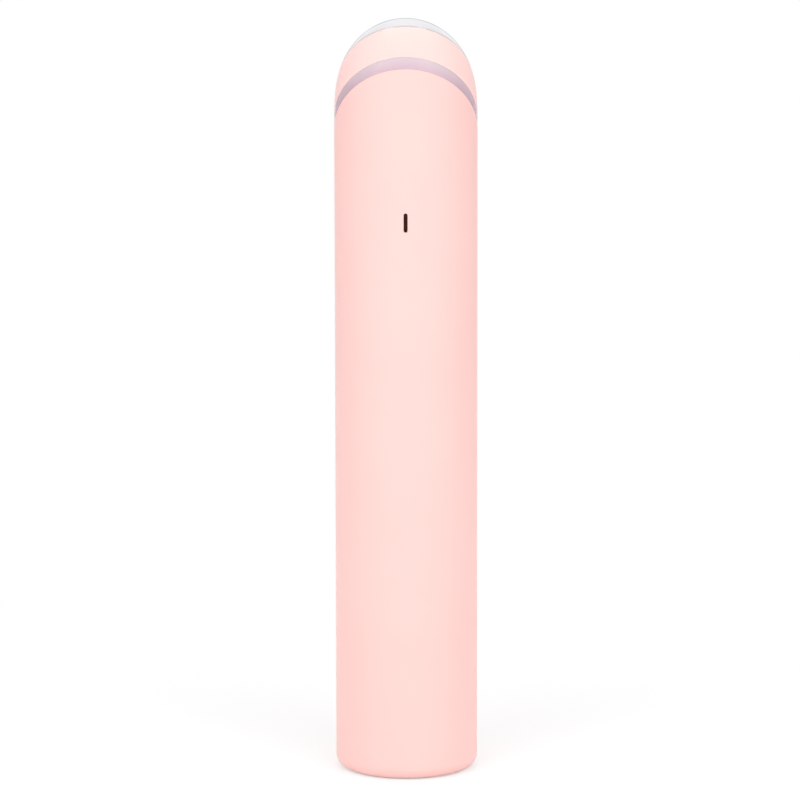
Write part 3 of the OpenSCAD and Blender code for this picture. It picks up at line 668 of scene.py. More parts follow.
bm = bmesh.new()
half_w, half_l = core_w / 2, core_l / 2
overlap, shy = 0.2, 0.02
for hand in (-1, 1):
    low, high = sorted((hand * (half_w - core_bar), hand * half_w))
    block(bm, (low, board_y, core_z - half_l), (high, board_y + core_high, core_z + half_l), 0.15)
    low, high = sorted((hand * (half_l - core_bar), hand * half_l))
    block(bm, (core_bar - half_w - overlap, board_y + shy, core_z + low),
          (half_w - core_bar + overlap, board_y + core_high - shy, core_z + high), 0.1)
capped(bm, [[bm.verts.new((core_leg_r * cos(a) * mm, (coil_y + core_leg_r * sin(a)) * mm, z * mm))
             for a in full_turn(40)]
            for z in (core_z - half_l + core_bar, core_z + half_l - core_bar)])
core = new_piece("transformer_core", bm, sintered(), smooth=False)
joined(core, "housing", "ferrite", "pulse_transformer")
coil = grown("transformer_winding", bpy.data.meshes.new("start"), winding_tree(),
             enamelled_copper(), turns=coil_turns, radius=coil_r * mm, length=coil_l * mm,
             wire=coil_wire_r * mm, foot=(0.0, coil_y * mm, (core_z - coil_l / 2) * mm))
joined(coil, "housing", "wire")


# Capacitors
# Two small electrolytic cans that lie on the main board: drawn aluminium in a dark
# sleeve, with a rolled groove near one end and a bare scored top.
can_r, can_l, can_sunk = 1.5, 5.5, 0.05
can_x, can_z = 2.6, 57.28


def sleeved_can():
    """A dark blue shrink sleeve, and bare aluminium at the sunk top."""
    finish, place = new_finish("capacitor_sleeve")
    up = place.part("Z") / mm - can_z
    bare = (up - can_l / 2).between(-0.07, -0.05)
    scuff = place.grain(1300, 3, 0.6)
    tint = scuff.between(0.3, 0.7).blend(colour(34, 40, 66), colour(46, 54, 84))
    lay(place, base_color=bare.blend(tint, colour(206, 206, 210)), metallic=bare,
        roughness=0.3 + 0.14 * scuff, normal=scuff.bumps(0.01, 0.25))
    return finish


can_finish = sleeved_can()
foot, top = -can_l / 2, can_l / 2
can = turned("can", [(0, foot)] + eased([
    (can_r - 0.2, foot, 0.05), (can_r, foot + 0.15, 0.1), (can_r, foot + 0.7, 0.05),
    (can_r - 0.16, foot + 0.9, 0.08), (can_r, foot + 1.1, 0.05), (can_r, top, 0.25),
    (can_r - 0.4, top, 0.03), (can_r - 0.45, top - can_sunk, 0.02)], False)
    + [(0, top - can_sunk)], can_finish, turns=48)
cans = set_out("capacitor_cans", can, [
    ((hand * can_x, board_y + can_r, can_z), (0, 0, 0)) for hand in (-1, 1)], can_finish)
joined(cans, "housing", "black_plastic", "capacitors")


# Switch
# The push switch in the middle of the main board, right behind the button: a black
# moulded body and an off-white plunger that clicks a steel dome inside.
switch_z = 86.068
finish_node("switch_body", black)
finish_node("switch_plunger", moulded(
    "plunger_plastic", colour(214, 212, 206), colour(224, 222, 217), 0.34))


# Board screws
# Four small socket-head screws that hold the main board down on the frame's bulkheads.
# Steel, rolled thread, zinc plated.
board_screw_x, bulkheads_z = 6.107, (19.6, 67.6)
thread_deep = 0.13


def screw(name, r, head_r, head_h, shaft_l, pitch, finish, socket_deep=0.55):
    """A screw that stands on its head's underside, with its shaft upwards."""
    bm = bmesh.new()

    def ring(radius, z, hexagon=False):
        made = []
        for a in full_turn(48):
            far = radius
            if hexagon:
                off = (a + pi / 6) % (pi / 3) - pi / 6
                far = radius * cos(pi / 6) / cos(off)
            made.append(bm.verts.new((far * cos(a) * mm, far * sin(a) * mm, z * mm)))
        return made

    ease, bevel, fillet = 0.18, 0.05, 0.08
    neck, tip = 0.5, 0.9
    rings = [ring(r, -head_h + socket_deep, True), ring(r, -head_h + 0.06, True),
             ring(r * 1.06, -head_h)]
    rings += [ring(head_r - ease * (1 - sin(t)), -head_h + ease * (1 - cos(t)))
              for t in quarter(4)]
    rings += [ring(head_r, -bevel), ring(head_r - bevel, 0), ring(r + fillet, 0),
              ring(r - 0.06, fillet)]
    z = neck
    while z < shaft_l - tip:
        rings += [ring(r - thread_deep, z), ring(r, z + 0.45 * pitch), ring(r, z + 0.55 * pitch)]
        z += pitch
    rings += [ring(r - thread_deep, z), ring(r - 0.16, shaft_l - 0.3), ring(r - 0.42, shaft_l)]
    capped(bm, rings)
    return new_piece(name, bm, finish)


zinc = bright_metal("zinc_plate", colour(188, 190, 194), colour(206, 208, 212), 0.24, (1, 1, 1))
board_screw = screw("board_screw", r=0.7, head_r=1.3, head_h=0.9, shaft_l=4.0, pitch=0.35,
                    finish=zinc)
low_screws = set_out("main_board_screws", board_screw, [
    ((hand * board_screw_x, board_y, z), (pi / 2, 0, 0)) for hand in (-1, 1) for z in bulkheads_z],
    zinc)
joined(low_screws, "housing", "steel", "board_screws")


# Vibration motor
# A small motor behind the boards. Its drawn steel case is crimped over a nylon end and
# sits in a silicone boot; the ground shaft carries a half-round weight of sintered heavy
# brass, pressed on, and both turn together.
motor_y, motor_low, motor_l, motor_r = -4.45772, 91.2836, 11.0, 3.5
bearing_r, bearing_l = 0.55, 4.2
recess, end_sunk = 0.3, 0.15

motor_can = turned("motor_can", [(0, bearing_l)] + eased([
    (bearing_r, bearing_l, 0), (bearing_r, 0, 0.05), (1.0, 0, 0.05), (1.05, recess, 0.05),
    (2.9, recess, 0.1), (3.1, 0, 0.1), (motor_r, 0, 0.35), (motor_r, 0.95, 0), (motor_r, 10.1, 0),
    (motor_r - 0.06, 10.25, 0.05), (motor_r, 10.4, 0.05), (motor_r, motor_l, 0.3),
    (2.7, motor_l, 0.05), (2.6, motor_l - end_sunk, 0.05), (0.02, motor_l - end_sunk, 0)], False)
    + [(0, motor_l - end_sunk)], steel, low=motor_low, at=(0, motor_y), turns=96)
joined(motor_can, "housing", "steel", "motor_case")
finish_node("motor_boot", grey_silicone)
finish_node("motor_shaft", bright_metal(
    "ground_steel", colour(200, 200, 204), colour(214, 214, 218), 0.12, (0.2, 0.2, 1)))
finish_node("eccentric_weight", bright_metal(
    "heavy_brass", colour(190, 162, 98), colour(208, 184, 122), 0.26, (0.2, 0.2, 1)))


# Charge light
# A chip lamp on its own small board, behind a smoked window that fills the slot in the
# sleeve's back. The window is moulded in clear plastic with a little brown dye.
slot_z = 103.068
charge_lamp_y = -10.08


def smoked_plastic():
    """Clear plastic dyed so dark a brown that only the lamp shows through."""
    finish, place = new_finish("smoked_lens")
    haze = place.grain(600, 2)
    lay(place, base_color=haze.blend(colour(44, 13, 8), colour(56, 20, 13)),
        roughness=0.2 + 0.1 * haze, normal=haze.bumps(0.003, 0.2), specular_ior_level=0.12)
    return finish


def lamp_plastic(name, axis, level):
    """A lamp's white housing, with yellow phosphor where it shines, past a level."""
    finish, place = new_finish(name)
    up = place.part("Y") / mm * axis[0] + place.part("Z") / mm * axis[1] - level
    cloud = place.grain(800, 2)
    lay(place, base_color=up.between(-0.02, 0.02).blend(
        cloud.blend(colour(228, 228, 226), colour(238, 238, 236)), colour(238, 214, 112)),
        roughness=0.2 + 0.14 * cloud, normal=cloud.bumps(0.004, 0.2))
    return finish


finish_node("indicator_lens", smoked_plastic())
finish_node("indicator_led", lamp_plastic("charge_lamp", (-1, 0), -charge_lamp_y))


# Leads
# Thin stranded wires in red insulation, soldered at both ends: from the cell to the
# boards, between the boards, to the motor, and up through the deck to the lamps and the
# two electrode contacts.
wire_r, bend_r = 0.35, 0.9
board_mid, board_top = 4.868, 102.284
motor_run, lamp_run, contact_run = board_top + 1.5, board_top + 3, board_top + 4.5
contact_foot, rim_run, rim_x = 122.468, 121.168, -8.45
ring_board_foot, lamp_lead_x = 116.368, 3.6
above_cell, below_cell = 70.7, 16.5
board_lead_low, board_lead_high = 15, 24.3


def lead_tree():
    """Lays a round wire along each route, bending it gently at the corners."""
    start, routes, radius, bend, finish = new_tree(
        "leads", routes="Geometry", radius="Float", bend="Float", finish="Material")
    run = start.node("GeometryNodeMeshToCurve", {}, {"Mesh": routes})
    bent = start.node("GeometryNodeFilletCurve", {"mode": "POLY"}, {
        "Curve": run, "Count": 7, "Radius": bend, "Limit Radius": True})
    return end_tree(round_wire(bent, radius, 14), finish)


def insulated():
    """Smooth red insulation."""
    finish, place = new_finish("wire")
    cloud = place.grain(500, 2)
    fine = place.grain(4000, 2)
    lay(place, base_color=cloud.between(0.3, 0.7).blend(colour(158, 32, 27), colour(182, 44, 37)),
        roughness=0.36 + 0.14 * fine, normal=fine.bumps(0.006, 0.3))
    return finish


red = insulated()
laying = lead_tree()
for name, node, routes in (
        ("leads_to_electrodes", "electrode_leads", [
            [(0, board_mid, board_top), (0, board_mid, contact_run), (0, 0, contact_run),
             (0, 0, contact_foot)],
            [(-2.4, board_mid, board_top), (-2.4, board_mid, lamp_run), (-2.4, 0, lamp_run),
             (-2.4, 0, rim_run), (rim_x, 0, rim_run), (rim_x, 0, contact_foot)]]),
        ("leads_to_battery", "battery_leads", [
            [(0, cell_y, cell_z + cell_l + cap_rise), (0, cell_y, above_cell),
             (0, board_y - 1, above_cell)],
            [(0, cell_y, cell_z), (0, cell_y, below_cell), (0, charge_y, below_cell)]]),
        ("leads_between_boards", "board_leads", [
            [(x, charge_y + 1, board_lead_low), (x, board_y + 0.75, board_lead_low),
             (x, board_y + 0.75, board_lead_high), (x, board_y, board_lead_high)]
            for x in (-3, -1.5, 1.5, 3)]),
        ("leads_to_motor", "motor_leads", [
            [(x, motor_y, board_top), (x, motor_y, motor_run), (x, board_mid, motor_run),
             (x, board_mid, board_top)] for x in (-1.2, 1.2)]),
        ("lead_to_lamps", "light_lead", [
            [(lamp_lead_x, board_mid, board_top), (lamp_lead_x, board_mid, lamp_run),
             (lamp_lead_x, 0, lamp_run), (lamp_lead_x, 0, ring_board_foot)]])):
    points, runs = [], []
    for route in routes:
        runs += [(len(points) + i, len(points) + i + 1) for i in range(len(route) - 1)]
        points += [[c * mm for c in point] for point in route]
    mesh = bpy.data.meshes.new(name)
    mesh.from_pydata(points, runs, [])
    lead = grown(name, mesh, laying, red, radius=wire_r * mm, bend=bend_r * mm)
    joined(lead, "housing", "wire", node)


# Outer sleeve
# The long tube that the hand holds, with its closed, rounded base and its slanted rim.
# Injection moulded in one piece and sprayed with a satin soft-touch pink. The charge
# light's slot, the push button's hole and the port's mouth are moulded in, edges eased.
body_r, bore_r = 13, 11.6
base_t, base_round = 2.2, 2.3
tilt = radians(44)
slant = tan(tilt)
rim_z, level_top = 118.268, 105.1
rim_ease, mouth_ease = 0.03, 0.2
button_hole_r, button_hole_ease = 4.65, 0.12
slot_half_w, slot_half_l, slot_ease = 0.36, 1.75, 0.07
mouth_half_w, mouth_half_h = 4.65, 1.81
pocket_r, pocket_high, pocket_low = 12.0, 1.1, 2.3
columns, lug_cols = 192, 12


def soft_touch_pink(name, low, high):
    """Satin paint with a silky grain, a shade glossier where the base rubs on a table."""
    finish, place = new_finish(name)
    cloud = place.grain(55, 3)
    grain = place.grain(5200, 1.5, 0.6)
    peel = place.grain(900, 1)
    rubbed = (1 - (place.part("Z") / mm).between(0.2, 2.6)) * cloud.between(0.35, 0.7)
    relief = grain.bumps(0.008, 0.55, over=peel.bumps(0.006, 0.35))
    lay(place, base_color=cloud.between(0.3, 0.7).blend(low, high),
        roughness=0.4 + 0.09 * cloud + 0.05 * grain - 0.1 * rubbed,
        normal=relief, specular_ior_level=0.4, coat_weight=0.15, coat_roughness=0.24,
        sheen_weight=0.04, sheen_roughness=0.45, sheen_tint=colour(250, 232, 236))
    return finish


def level_rows(low, holes):
    """Heights of the level rows of the wall, close together where a hole is."""
    apart = 3
    heights, at = [], low
    for bottom, top, count in holes + [(level_top, level_top, 0)]:
        steps = max(1, round((bottom - at) / apart))
        heights += [at + (bottom - at) * i / steps for i in range(steps)]
        heights += [bottom + (top - bottom) * i / count for i in range(count)]
        at = top
    return heights + [at]


def cut_window(bm, outer, inner, middle, half_cols, half_w, half_l, ease, side):
    """Joins the outer and inner wall round a hole with round ends, its edges eased."""
    high, reach = len(outer) - 1, half_l - half_w
    start = round((1 if side > 0 else 3) * columns / 4)
    cols = [(start - side * i) % columns for i in range(-half_cols, half_cols + 1)]
    path = ([(0, c) for c in cols[:-1]] + [(j, cols[-1]) for j in range(high)]
            + [(high, c) for c in cols[:0:-1]] + [(j, cols[0]) for j in range(high, 0, -1)])
    end_turn = pi if reach else pi / 2
    edge = []
    for count, facing, spread, low, far in (
            (2 * half_cols, -pi / 2, end_turn, -reach, -reach),
            (high, 0, pi - end_turn, -reach, reach),
            (2 * half_cols, pi / 2, end_turn, reach, reach),
            (high, pi, pi - end_turn, reach, -reach)):
        for i in range(count):
            a = facing + spread * (i / count - 0.5)
            edge.append((cos(a), sin(a), low + (far - low) * i / count))

    def ring(verts, r, wider, share):
        """A ring on the round of radius r, this share of the way out to the wall's own."""
        made = []
        for v, (c, s, along) in zip(verts, edge):
            x, z = v.co.x / mm, v.co.z / mm - middle
            near_x, near_z = (half_w + wider) * c, (half_w + wider) * s + along
            x, z = near_x + (x - near_x) * share, near_z + (z - near_z) * share
            made.append(bm.verts.new((x * mm, side * sqrt(r * r - x * x) * mm, (z + middle) * mm)))
        return made

    out_edge = [outer[j][c] for j, c in path]
    in_edge = [inner[j][c] for j, c in path]
    arc = [(ease * (1 - sin(t)), ease * (1 - cos(t))) for t in quarter(4)]
    beside = 2.2 * ease
    rings = [out_edge]
    rings += [ring(out_edge, body_r, beside, share) for share in (0.66, 0.36, 0.14, 0)]
    rings += [ring(out_edge, body_r - deep, wide, 0) for wide, deep in arc]
    rings += [ring(out_edge, body_r - 2 * ease, 0, 0), ring(in_edge, bore_r + 2 * ease, 0, 0)]
    rings += [ring(in_edge, bore_r + deep, wide, 0) for wide, deep in arc[::-1]]
    rings += [ring(in_edge, bore_r, beside, share) for share in (0, 0.3, 0.65)]
    skin(bm, rings + [in_edge])


def swell(bm, faces, far):
    """Pushes a patch of faces out to a radius, with square walls round it."""
    grown_patch = bmesh.ops.extrude_face_region(bm, geom=faces)["geom"]
    bmesh.ops.delete(bm, geom=faces, context="FACES")
    for v in grown_patch:
        if isinstance(v, bmesh.types.BMVert):
            stretch = far * mm / hypot(v.co.x, v.co.y)
            v.co.x *= stretch
            v.co.y *= stretch
            for edge in v.link_edges:
                edge.smooth = False


def make_sleeve():
    """Rows of points up the outside, over the rim and down the bore, then the openings."""
    bm = bmesh.new()
    turns = full_turn(columns)

    def round_ring(r, z):
        return [bm.verts.new((r * cos(a) * mm, r * sin(a) * mm, z * mm)) for a in turns]

    def slanted_ring(r, drop=0.0, share=None):
        """A ring drop below the rim, or at most that share of the way up to it."""
        made = []
        for a in turns:
            rise = rim_z - r * sin(a) * slant - level_top
            up = rise - drop if share is None else max(rise - drop, rise - share * rise)
            made.append(bm.verts.new((r * cos(a) * mm, r * sin(a) * mm, (level_top + up) * mm)))
        return made

    def mouth_ring(spread, z):
        edge = [obround_edge(a, mouth_half_w + spread, mouth_half_h + spread) for a in turns]
        return [bm.verts.new((x * mm, y * mm, z * mm)) for x, y in edge]

    # the lowest and highest row at each hole, and the number of rows from one to the other
    holes = [(switch_z - 6, switch_z + 6, 28), (slot_z - 2, slot_z + 2, 16)]
    window_cols = (14, 6)
    base_r = 8
    e = mouth_ease
    outside = [mouth_ring(e * (1 - sin(t)), e * (1 - cos(t))) for t in quarter(4)[::-1]]
    outside += [mouth_ring(2.2 * e, 0), round_ring(base_r, 0), round_ring(10.2, 0)]
    outside += [round_ring(body_r - base_round + base_round * sin(t),
                           base_round - base_round * cos(t)) for t in quarter(16)]
    walls = level_rows(base_round + 0.3, holes)
    first = len(outside)
    outside += [round_ring(body_r, z) for z in walls]
    outside += [slanted_ring(body_r, inf, q) for q in (0.93, 0.8, 0.66)]
    outside += [slanted_ring(body_r, 0.35)]
    e = rim_ease
    outside += [slanted_ring(body_r - e * (1 - cos(t)), e * (1 - sin(t))) for t in quarter(4)]
    outside += [slanted_ring(body_r - 2 * e), slanted_ring(bore_r + 2 * e)]
    inside = [slanted_ring(bore_r + e * (1 - cos(t)), e * (1 - sin(t))) for t in quarter(4)[::-1]]
    inside += [slanted_ring(bore_r, 0.35), slanted_ring(bore_r, pocket_high, 0.35)]
    inside += [slanted_ring(bore_r, pocket_low, 0.55)]
    pocket = len(inside) - 1
    inside += [slanted_ring(bore_r, inf, 0.8)]
    bore = level_rows(base_t + 0.5, holes)
    inside += [round_ring(bore_r, z) for z in bore[::-1]]
    last = len(inside)
    inside += [round_ring(r, base_t) for r in (bore_r, bore_r - 0.5, base_r)]
    inside += [mouth_ring(0, base_t)]
    rings = outside + inside
    inner_rows = {z: rings[len(outside) + last - 1 - k] for k, z in enumerate(bore)}
    outer_rows = {z: rings[first + k] for k, z in enumerate(walls)}
    windows, gone = [], set()
    near = 1e-6
    for (low, high, count), half, side in zip(holes, window_cols, (1, -1)):
        heights = [z for z in walls if low - near <= z <= high + near]
        outer = [outer_rows[z] for z in heights]
        inner = [inner_rows[min(bore, key=lambda b: abs(b - z))] for z in heights]
        windows.append((outer, inner))
        start = (1 if side > 0 else 3) * columns // 4 - half
        for wall in (outer, inner):
            gone.update(row[(start + i) % columns] for row in wall[:-1] for i in range(2 * half))
    for n, (a, b) in enumerate(zip(rings, rings[1:] + rings[:1])):
        lower = b if n >= len(outside) else a
        for i in range(columns):
            if lower[i] not in gone:
                k = (i + 1) % columns
                bm.faces.new((a[i], a[k], b[k], b[i]))
    cut_window(bm, *windows[0], switch_z, window_cols[0], button_hole_r, button_hole_r,
               button_hole_ease, 1)
    cut_window(bm, *windows[1], slot_z, window_cols[1], slot_half_w, slot_half_l, slot_ease, -1)
    # the two snap pockets for the light ring's lugs
    a, b = rings[len(outside) + pocket - 1], rings[len(outside) + pocket]
    for middle in (0, columns // 2):
        start = middle - lug_cols // 2
        around = [((start + i) % columns, (start + i + 1) % columns) for i in range(lug_cols)]
        swell(bm, [bm.faces.get((a[c], a[k], b[k], b[c])) for c, k in around], pocket_r)
    return bm


pink = soft_touch_pink("satin_pink", colour(254, 205, 199), colour(255, 207, 201))
sleeve = new_piece("sleeve", make_sleeve(), pink)
joined(sleeve, "housing", "satin_pink", "outer_sleeve")


# Push button and its seal
# The round push button, flush with the sleeve and lightly dished for the thumb. Moulded
# and sprayed with the sleeve; its flange keeps it in, its stem reaches the switch, and a
# silicone ring in its groove keeps water out and goes down with it.
button_r, button_ease = 4.5, 0.18
dish_r, dish_low = 30.0, 12.7
button_groove_r, button_groove_low, button_groove_high = 3.83, 10.9, 11.8
flange_r, flange_low, flange_t = 5.3, 9.618, 0.5
stem_r, stem_low = 1.7, 9.418


def make_button():
    """Rings of points from the middle of the dish, out over the edge and down the side."""
    bm = bmesh.new()
    turns = full_turn(128)
    face_r = body_r - 0.02

    def top(x, z):
        """The dish runs smoothly out into the round of the sleeve."""
        round_face = sqrt(face_r ** 2 - x * x)
        dish = dish_low + dish_r - sqrt(dish_r ** 2 - x * x - z * z)
        soft = 0.05
        t = max(0, min(1, 0.5 + 0.5 * (dish - round_face) / soft))
        return dish * (1 - t) + round_face * t - soft * t * (1 - t)

    def ring(r, y=None, drop=0.0):
        made = []
        for a in turns:
            x, z = r * cos(a), r * sin(a)
            depth = top(x, z) - drop if y is None else y
            made.append(bm.verts.new((x * mm, depth * mm, (switch_z + z) * mm)))
        return made

    e, chamfer, fine = button_ease, 0.04, 0.02
    flange_high = flange_low + flange_t
    rings = [ring(button_r * i / 26) for i in range(1, 24)]
    rings += [ring(button_r - 2 * e), ring(button_r - e)]
    rings += [ring(button_r - e * (1 - sin(t)), drop=e * (1 - cos(t))) for t in quarter(5)[1:]]
    rings += [ring(r, y) for r, y in (
        (button_r, button_groove_high + fine), (button_r - chamfer, button_groove_high),
        (button_groove_r, button_groove_high), (button_groove_r, button_groove_low),
        (button_r - chamfer, button_groove_low), (button_r, button_groove_low - fine),
        (button_r, flange_high + 1.1 * fine), (flange_r, flange_high), (flange_r, flange_low),
        (stem_r, flange_low), (stem_r, stem_low))]
    skin(bm, rings)
    for last, y in ((rings[0], top(0, 0)), (rings[-1], stem_low)):
        tip = bm.verts.new((0, y * mm, switch_z * mm))
        for i in range(len(last)):
            bm.faces.new((last[i], last[(i + 1) % len(last)], tip))
    return bm


button = new_piece("button", make_button(), pink)
joined(button, "button", "satin_pink", "power_button")
finish_node("button_seal", grey_silicone)


# Ring-shaped board and its lamps
# The board on the slanted deck that lights the ring above it, with eight chip lamps set
# round its edge, soldered on.
lamp_count, lamp_ring_r, lamp_floor = 8, 9.9, -0.9
lamp_w, lamp_d, lamp_h = 1.6, 0.7, 0.4
lens_in_w, lens_in_d = 0.25, 0.08
finish_node("ring_light_board", boards)
bm = bmesh.new()
block(bm, (-lamp_w / 2, -lamp_d / 2, 0), (lamp_w / 2, lamp_d / 2, lamp_h * 0.72), 0.05)
block(bm, (-lamp_w / 2 + lens_in_w, -lamp_d / 2 + lens_in_d, lamp_h * 0.6),
      (lamp_w / 2 - lens_in_w, lamp_d / 2 - lens_in_d, lamp_h), 0.1, 3)
lamp_glow = lamp_plastic("lamp_epoxy", (slant, 1), rim_z + lamp_floor + lamp_h + 0.02)
lamp_unit = new_piece("lamp", bm, lamp_glow, turn_faces=False)
spots = []
for i in range(lamp_count):
    a = 2 * pi * (i + 0.5) / lamp_count
    x, y = lamp_ring_r * cos(a), lamp_ring_r * sin(a)
    spin = atan2(cos(a) / cos(tilt), -sin(a))
    turn = (Matrix.Rotation(-tilt, 3, "X") @ Matrix.Rotation(spin, 3, "Z")).to_euler()
    spots.append(((x, y, rim_z + lamp_floor - y * slant), tuple(turn)))
ring_lamps = set_out("ring_lamps", lamp_unit, spots, lamp_glow)
joined(ring_lamps, "housing", "lamp_epoxy", "ring_leds")


# Light ring
# The clear mauve ring that glows, on the slanted rim of the sleeve. Moulded as a light
# guide and polished outside, with a spigot and two snap lugs that hold it in the sleeve.
glow_h = 2.2
ring_r, guide_ri = 12.97, 9.4
spigot_r, spigot_ri, spigot_low = 11.5, 10.5, -3
lug_low, lug_high, lug_r, lug_half_w = -2.2, -1.2, 11.9, 1.9


def above_rim(place):
    """Height above the slanted rim, in millimetres, at a place on the head."""
    return (place.part("Z") + place.part("Y") * slant) / mm - rim_z


def pearly_mauve():
    """Translucent mauve with a pearl in it, a shade lighter towards its top edge."""
    finish, place = new_finish("mauve_light_guide")
    cloud = place.grain(160, 2)
    tint = (above_rim(place) / glow_h).between(0, 1).blend(
        colour(214, 186, 197), colour(224, 201, 210))
    lay(place, base_color=tint, roughness=0.2 + 0.1 * cloud, metallic=0.4,
        normal=place.grain(1400, 1).bumps(0.004, 0.2), specular_ior_level=0.6,
        coat_weight=0.5, coat_roughness=0.08, subsurface_weight=0.25,
        subsurface_radius=(0.0016, 0.0009, 0.0012), subsurface_scale=1.0)
    return finish


glow_ring = turned("glow_ring", eased([
    (ring_r, 0, 0.03), (ring_r, glow_h, 0.03), (guide_ri, glow_h, 0.1), (guide_ri, 0, 0.05),
    (spigot_ri, 0, 0), (spigot_ri, spigot_low, 0.1), (spigot_r, spigot_low, 0.1),
    (spigot_r, lug_low, 0), (spigot_r, lug_high, 0), (spigot_r, 0, 0)]),
    pearly_mauve(), low=rim_z, lean=slant, turns=columns)
bm = bmesh.new()
bm.from_mesh(glow_ring.data)
for hand in (-1, 1):
    lug = []
    for face in bm.faces:
        middle = face.calc_center_median() / mm
        w = middle.z + middle.y * slant - rim_z
        on_spigot = spigot_r - 0.3 < hand * middle.x and hypot(middle.x, middle.y) < spigot_r + 0.1
        if on_spigot and abs(middle.y) < lug_half_w and lug_low < w < lug_high:
            lug.append(face)
    swell(bm, lug, lug_r)
bmesh.ops.recalc_face_normals(bm, faces=bm.faces)
bm.to_mesh(glow_ring.data)
bm.free()
joined(glow_ring, "housing", "mauve_light_guide", "light_ring")


# Electrode carrier, gasket and contacts
# The white plug that both electrodes are fastened to, moulded in a tough plastic. Screws
# pull it down on a silicone gasket on the head shell's ledge. Two gold-flashed pins in
# it carry the pulses up to the electrodes.
white_plastic = moulded("white_plastic", colour(234, 232, 230), colour(239, 237, 235), 0.24,
                        fine=5200, deep=0.003)
finish_node("electrode_carrier", white_plastic)
finish_node("head_gasket", grey_silicone)
finish_node("centre_contact", gold)
finish_node("rim_contact", gold)


# Head shell
# The pink shoulder above the light ring. Moulded and sprayed like the sleeve, with a ledge
# inside that the electrode carrier clamps down on. Its pink is a shade paler than the
# sleeve's: painted light, for the brighter light that the shoulder catches.
shell_top = 8.2
head_h = 14.75
shoulder = 3.95
ledge_high, ledge_low = 6.4, 5.2
skirt_ri = 11.4


def head_r(w, r=body_r, h=head_h):
    """Radius of the shoulder at a height above the rim."""
    return r * sqrt(max(1 - (w / h) ** shoulder, 0))


def head_w(r0, r=body_r, h=head_h):
    """Height of the shoulder above the rim at a radius."""
    return h * (1 - (r0 / r) ** 2) ** (1 / shoulder)


seat_r = head_r(shell_top) - 1.15
ledge_r = seat_r - 0.9
side_low, side_high = glow_h + 0.3, shell_top - 0.3
side = [(head_r(w), w, 0) for w in (side_low + (side_high - side_low) * i / 24 for i in range(25))]
# Painted light: a paler copy of the sleeve's pink, for the brighter light on the shoulder.
pink_painted_lighter = soft_touch_pink("satin_pink_head_painted_lighter", colour(254, 214, 209), colour(255, 216, 211))
head_shell = turned("shoulder_shell", eased(
    [(head_r(glow_h), glow_h, 0.03)] + side + [
        (head_r(shell_top), shell_top, 0.08), (seat_r, shell_top, 0.1), (seat_r, ledge_high, 0),
        (ledge_r, ledge_high, 0.05), (ledge_r, ledge_low, 0),
        (skirt_ri, ledge_low - skirt_ri + ledge_r, 0), (skirt_ri, glow_h, 0.1)]),
    pink_painted_lighter, low=rim_z, lean=slant, turns=columns)
joined(head_shell, "housing", "satin_pink", "head_shell")


# Outer electrode
# The polished ring that rounds off the head and carries the current to the skin. Drawn
# from sheet, chromed and polished, and clipped over the carrier's shoulder by its lip.
electrode_ri = 8.2
lip_r, lip_low, lip_top = 9.0, 10.958, 11.178
under_r, under_h = 12.2, 13.638


def polished_chrome():
    """Mirror chrome, hazed by handling, with painted shade and a pinkish painted reflection of the
    shell along the joint.
    """
    finish, place = new_finish("polished_metal")
    haze = place.grain(240, 3)
    hair = place.grain(2600, 1, 0.4, stretch=(1, 1, 0.08))
    # Painted shade and reflection: within about half a millimetre of the pink shell the chrome is a
    # greyish pink, not silver.
    clear_of_joint_shade = (above_rim(place) - shell_top).between(-0.05, 0.55)
    silver = haze.blend(colour(238, 238, 242), colour(244, 244, 247))
    lay(place, base_color=clear_of_joint_shade.blend(colour(222, 212, 212), silver), metallic=1.0,
        roughness=0.05 + 0.05 * haze + 0.03 * hair, normal=haze.bumps(0.003, 0.12))
    return finish


chrome = polished_chrome()
top_w, foot_w = head_w(electrode_ri), shell_top + 0.3
dome = [(head_r(w), w, 0) for w in (
    foot_w + (top_w - foot_w) * (1 - (1 - i / 44) ** 1.6) for i in range(44))]
under = [(head_r(w, under_r, under_h), w, 0) for w in (
    lip_top + (foot_w - lip_top) * i / 20 for i in range(21))]
outer_ring = turned("outer_electrode_cap", eased(
    [(head_r(shell_top), shell_top, 0.1)] + dome + [
        (electrode_ri, top_w, 0.14), (electrode_ri, lip_low, 0.04), (lip_r, lip_low, 0)]
    + under + [(head_r(shell_top, under_r, under_h), shell_top, 0.08)]), chrome,
    low=rim_z, lean=slant, turns=columns)
joined(outer_ring, "housing", "polished_metal", "outer_electrode")


# Insulating ring
# A white plastic ring that keeps the two electrodes apart, a little below them. Moulded,
# and held between them on the carrier.
centre_r = 7.0
insulator_recess, insulator_gap = 0.15, 0.05
outer_edge, inner_edge = electrode_ri - insulator_gap, centre_r + insulator_gap
spacer = turned("spacer_ring", eased([
    (outer_edge, lip_low, 0.05), (outer_edge, head_w(electrode_ri) - insulator_recess, 0.12),
    (inner_edge, head_w(centre_r) - insulator_recess, 0.12), (inner_edge, lip_low, 0.05)]),
    white_plastic, low=rim_z, lean=slant, turns=columns)
joined(spacer, "housing", "white_plastic", "insulating_ring")


# Centre electrode
# The second electrode, a polished cap in the middle of the head, drawn, chromed and
# polished like the outer one, and pressed over the carrier's post.
cap_low = head_w(centre_r) - 1.18
cap_skirt_low = lip_low + 0.05
hollow_r = centre_r - 0.8
crown_r = centre_r - 0.35
crown = [(r, head_w(r), 0) for r in (crown_r * (1 - i / 30) for i in range(30))]
centre_cap = turned("centre_electrode_cap", [(0, cap_low)] + eased([
    (hollow_r, cap_low, 0), (hollow_r, cap_skirt_low, 0.05), (centre_r, cap_skirt_low, 0.05),
    (centre_r, head_w(centre_r), 0.16)] + crown + [(0.02, head_w(0), 0)], False)
    + [(0, head_w(0))], chrome, low=rim_z, lean=slant, turns=columns)
joined(centre_cap, "housing", "polished_metal", "centre_electrode")


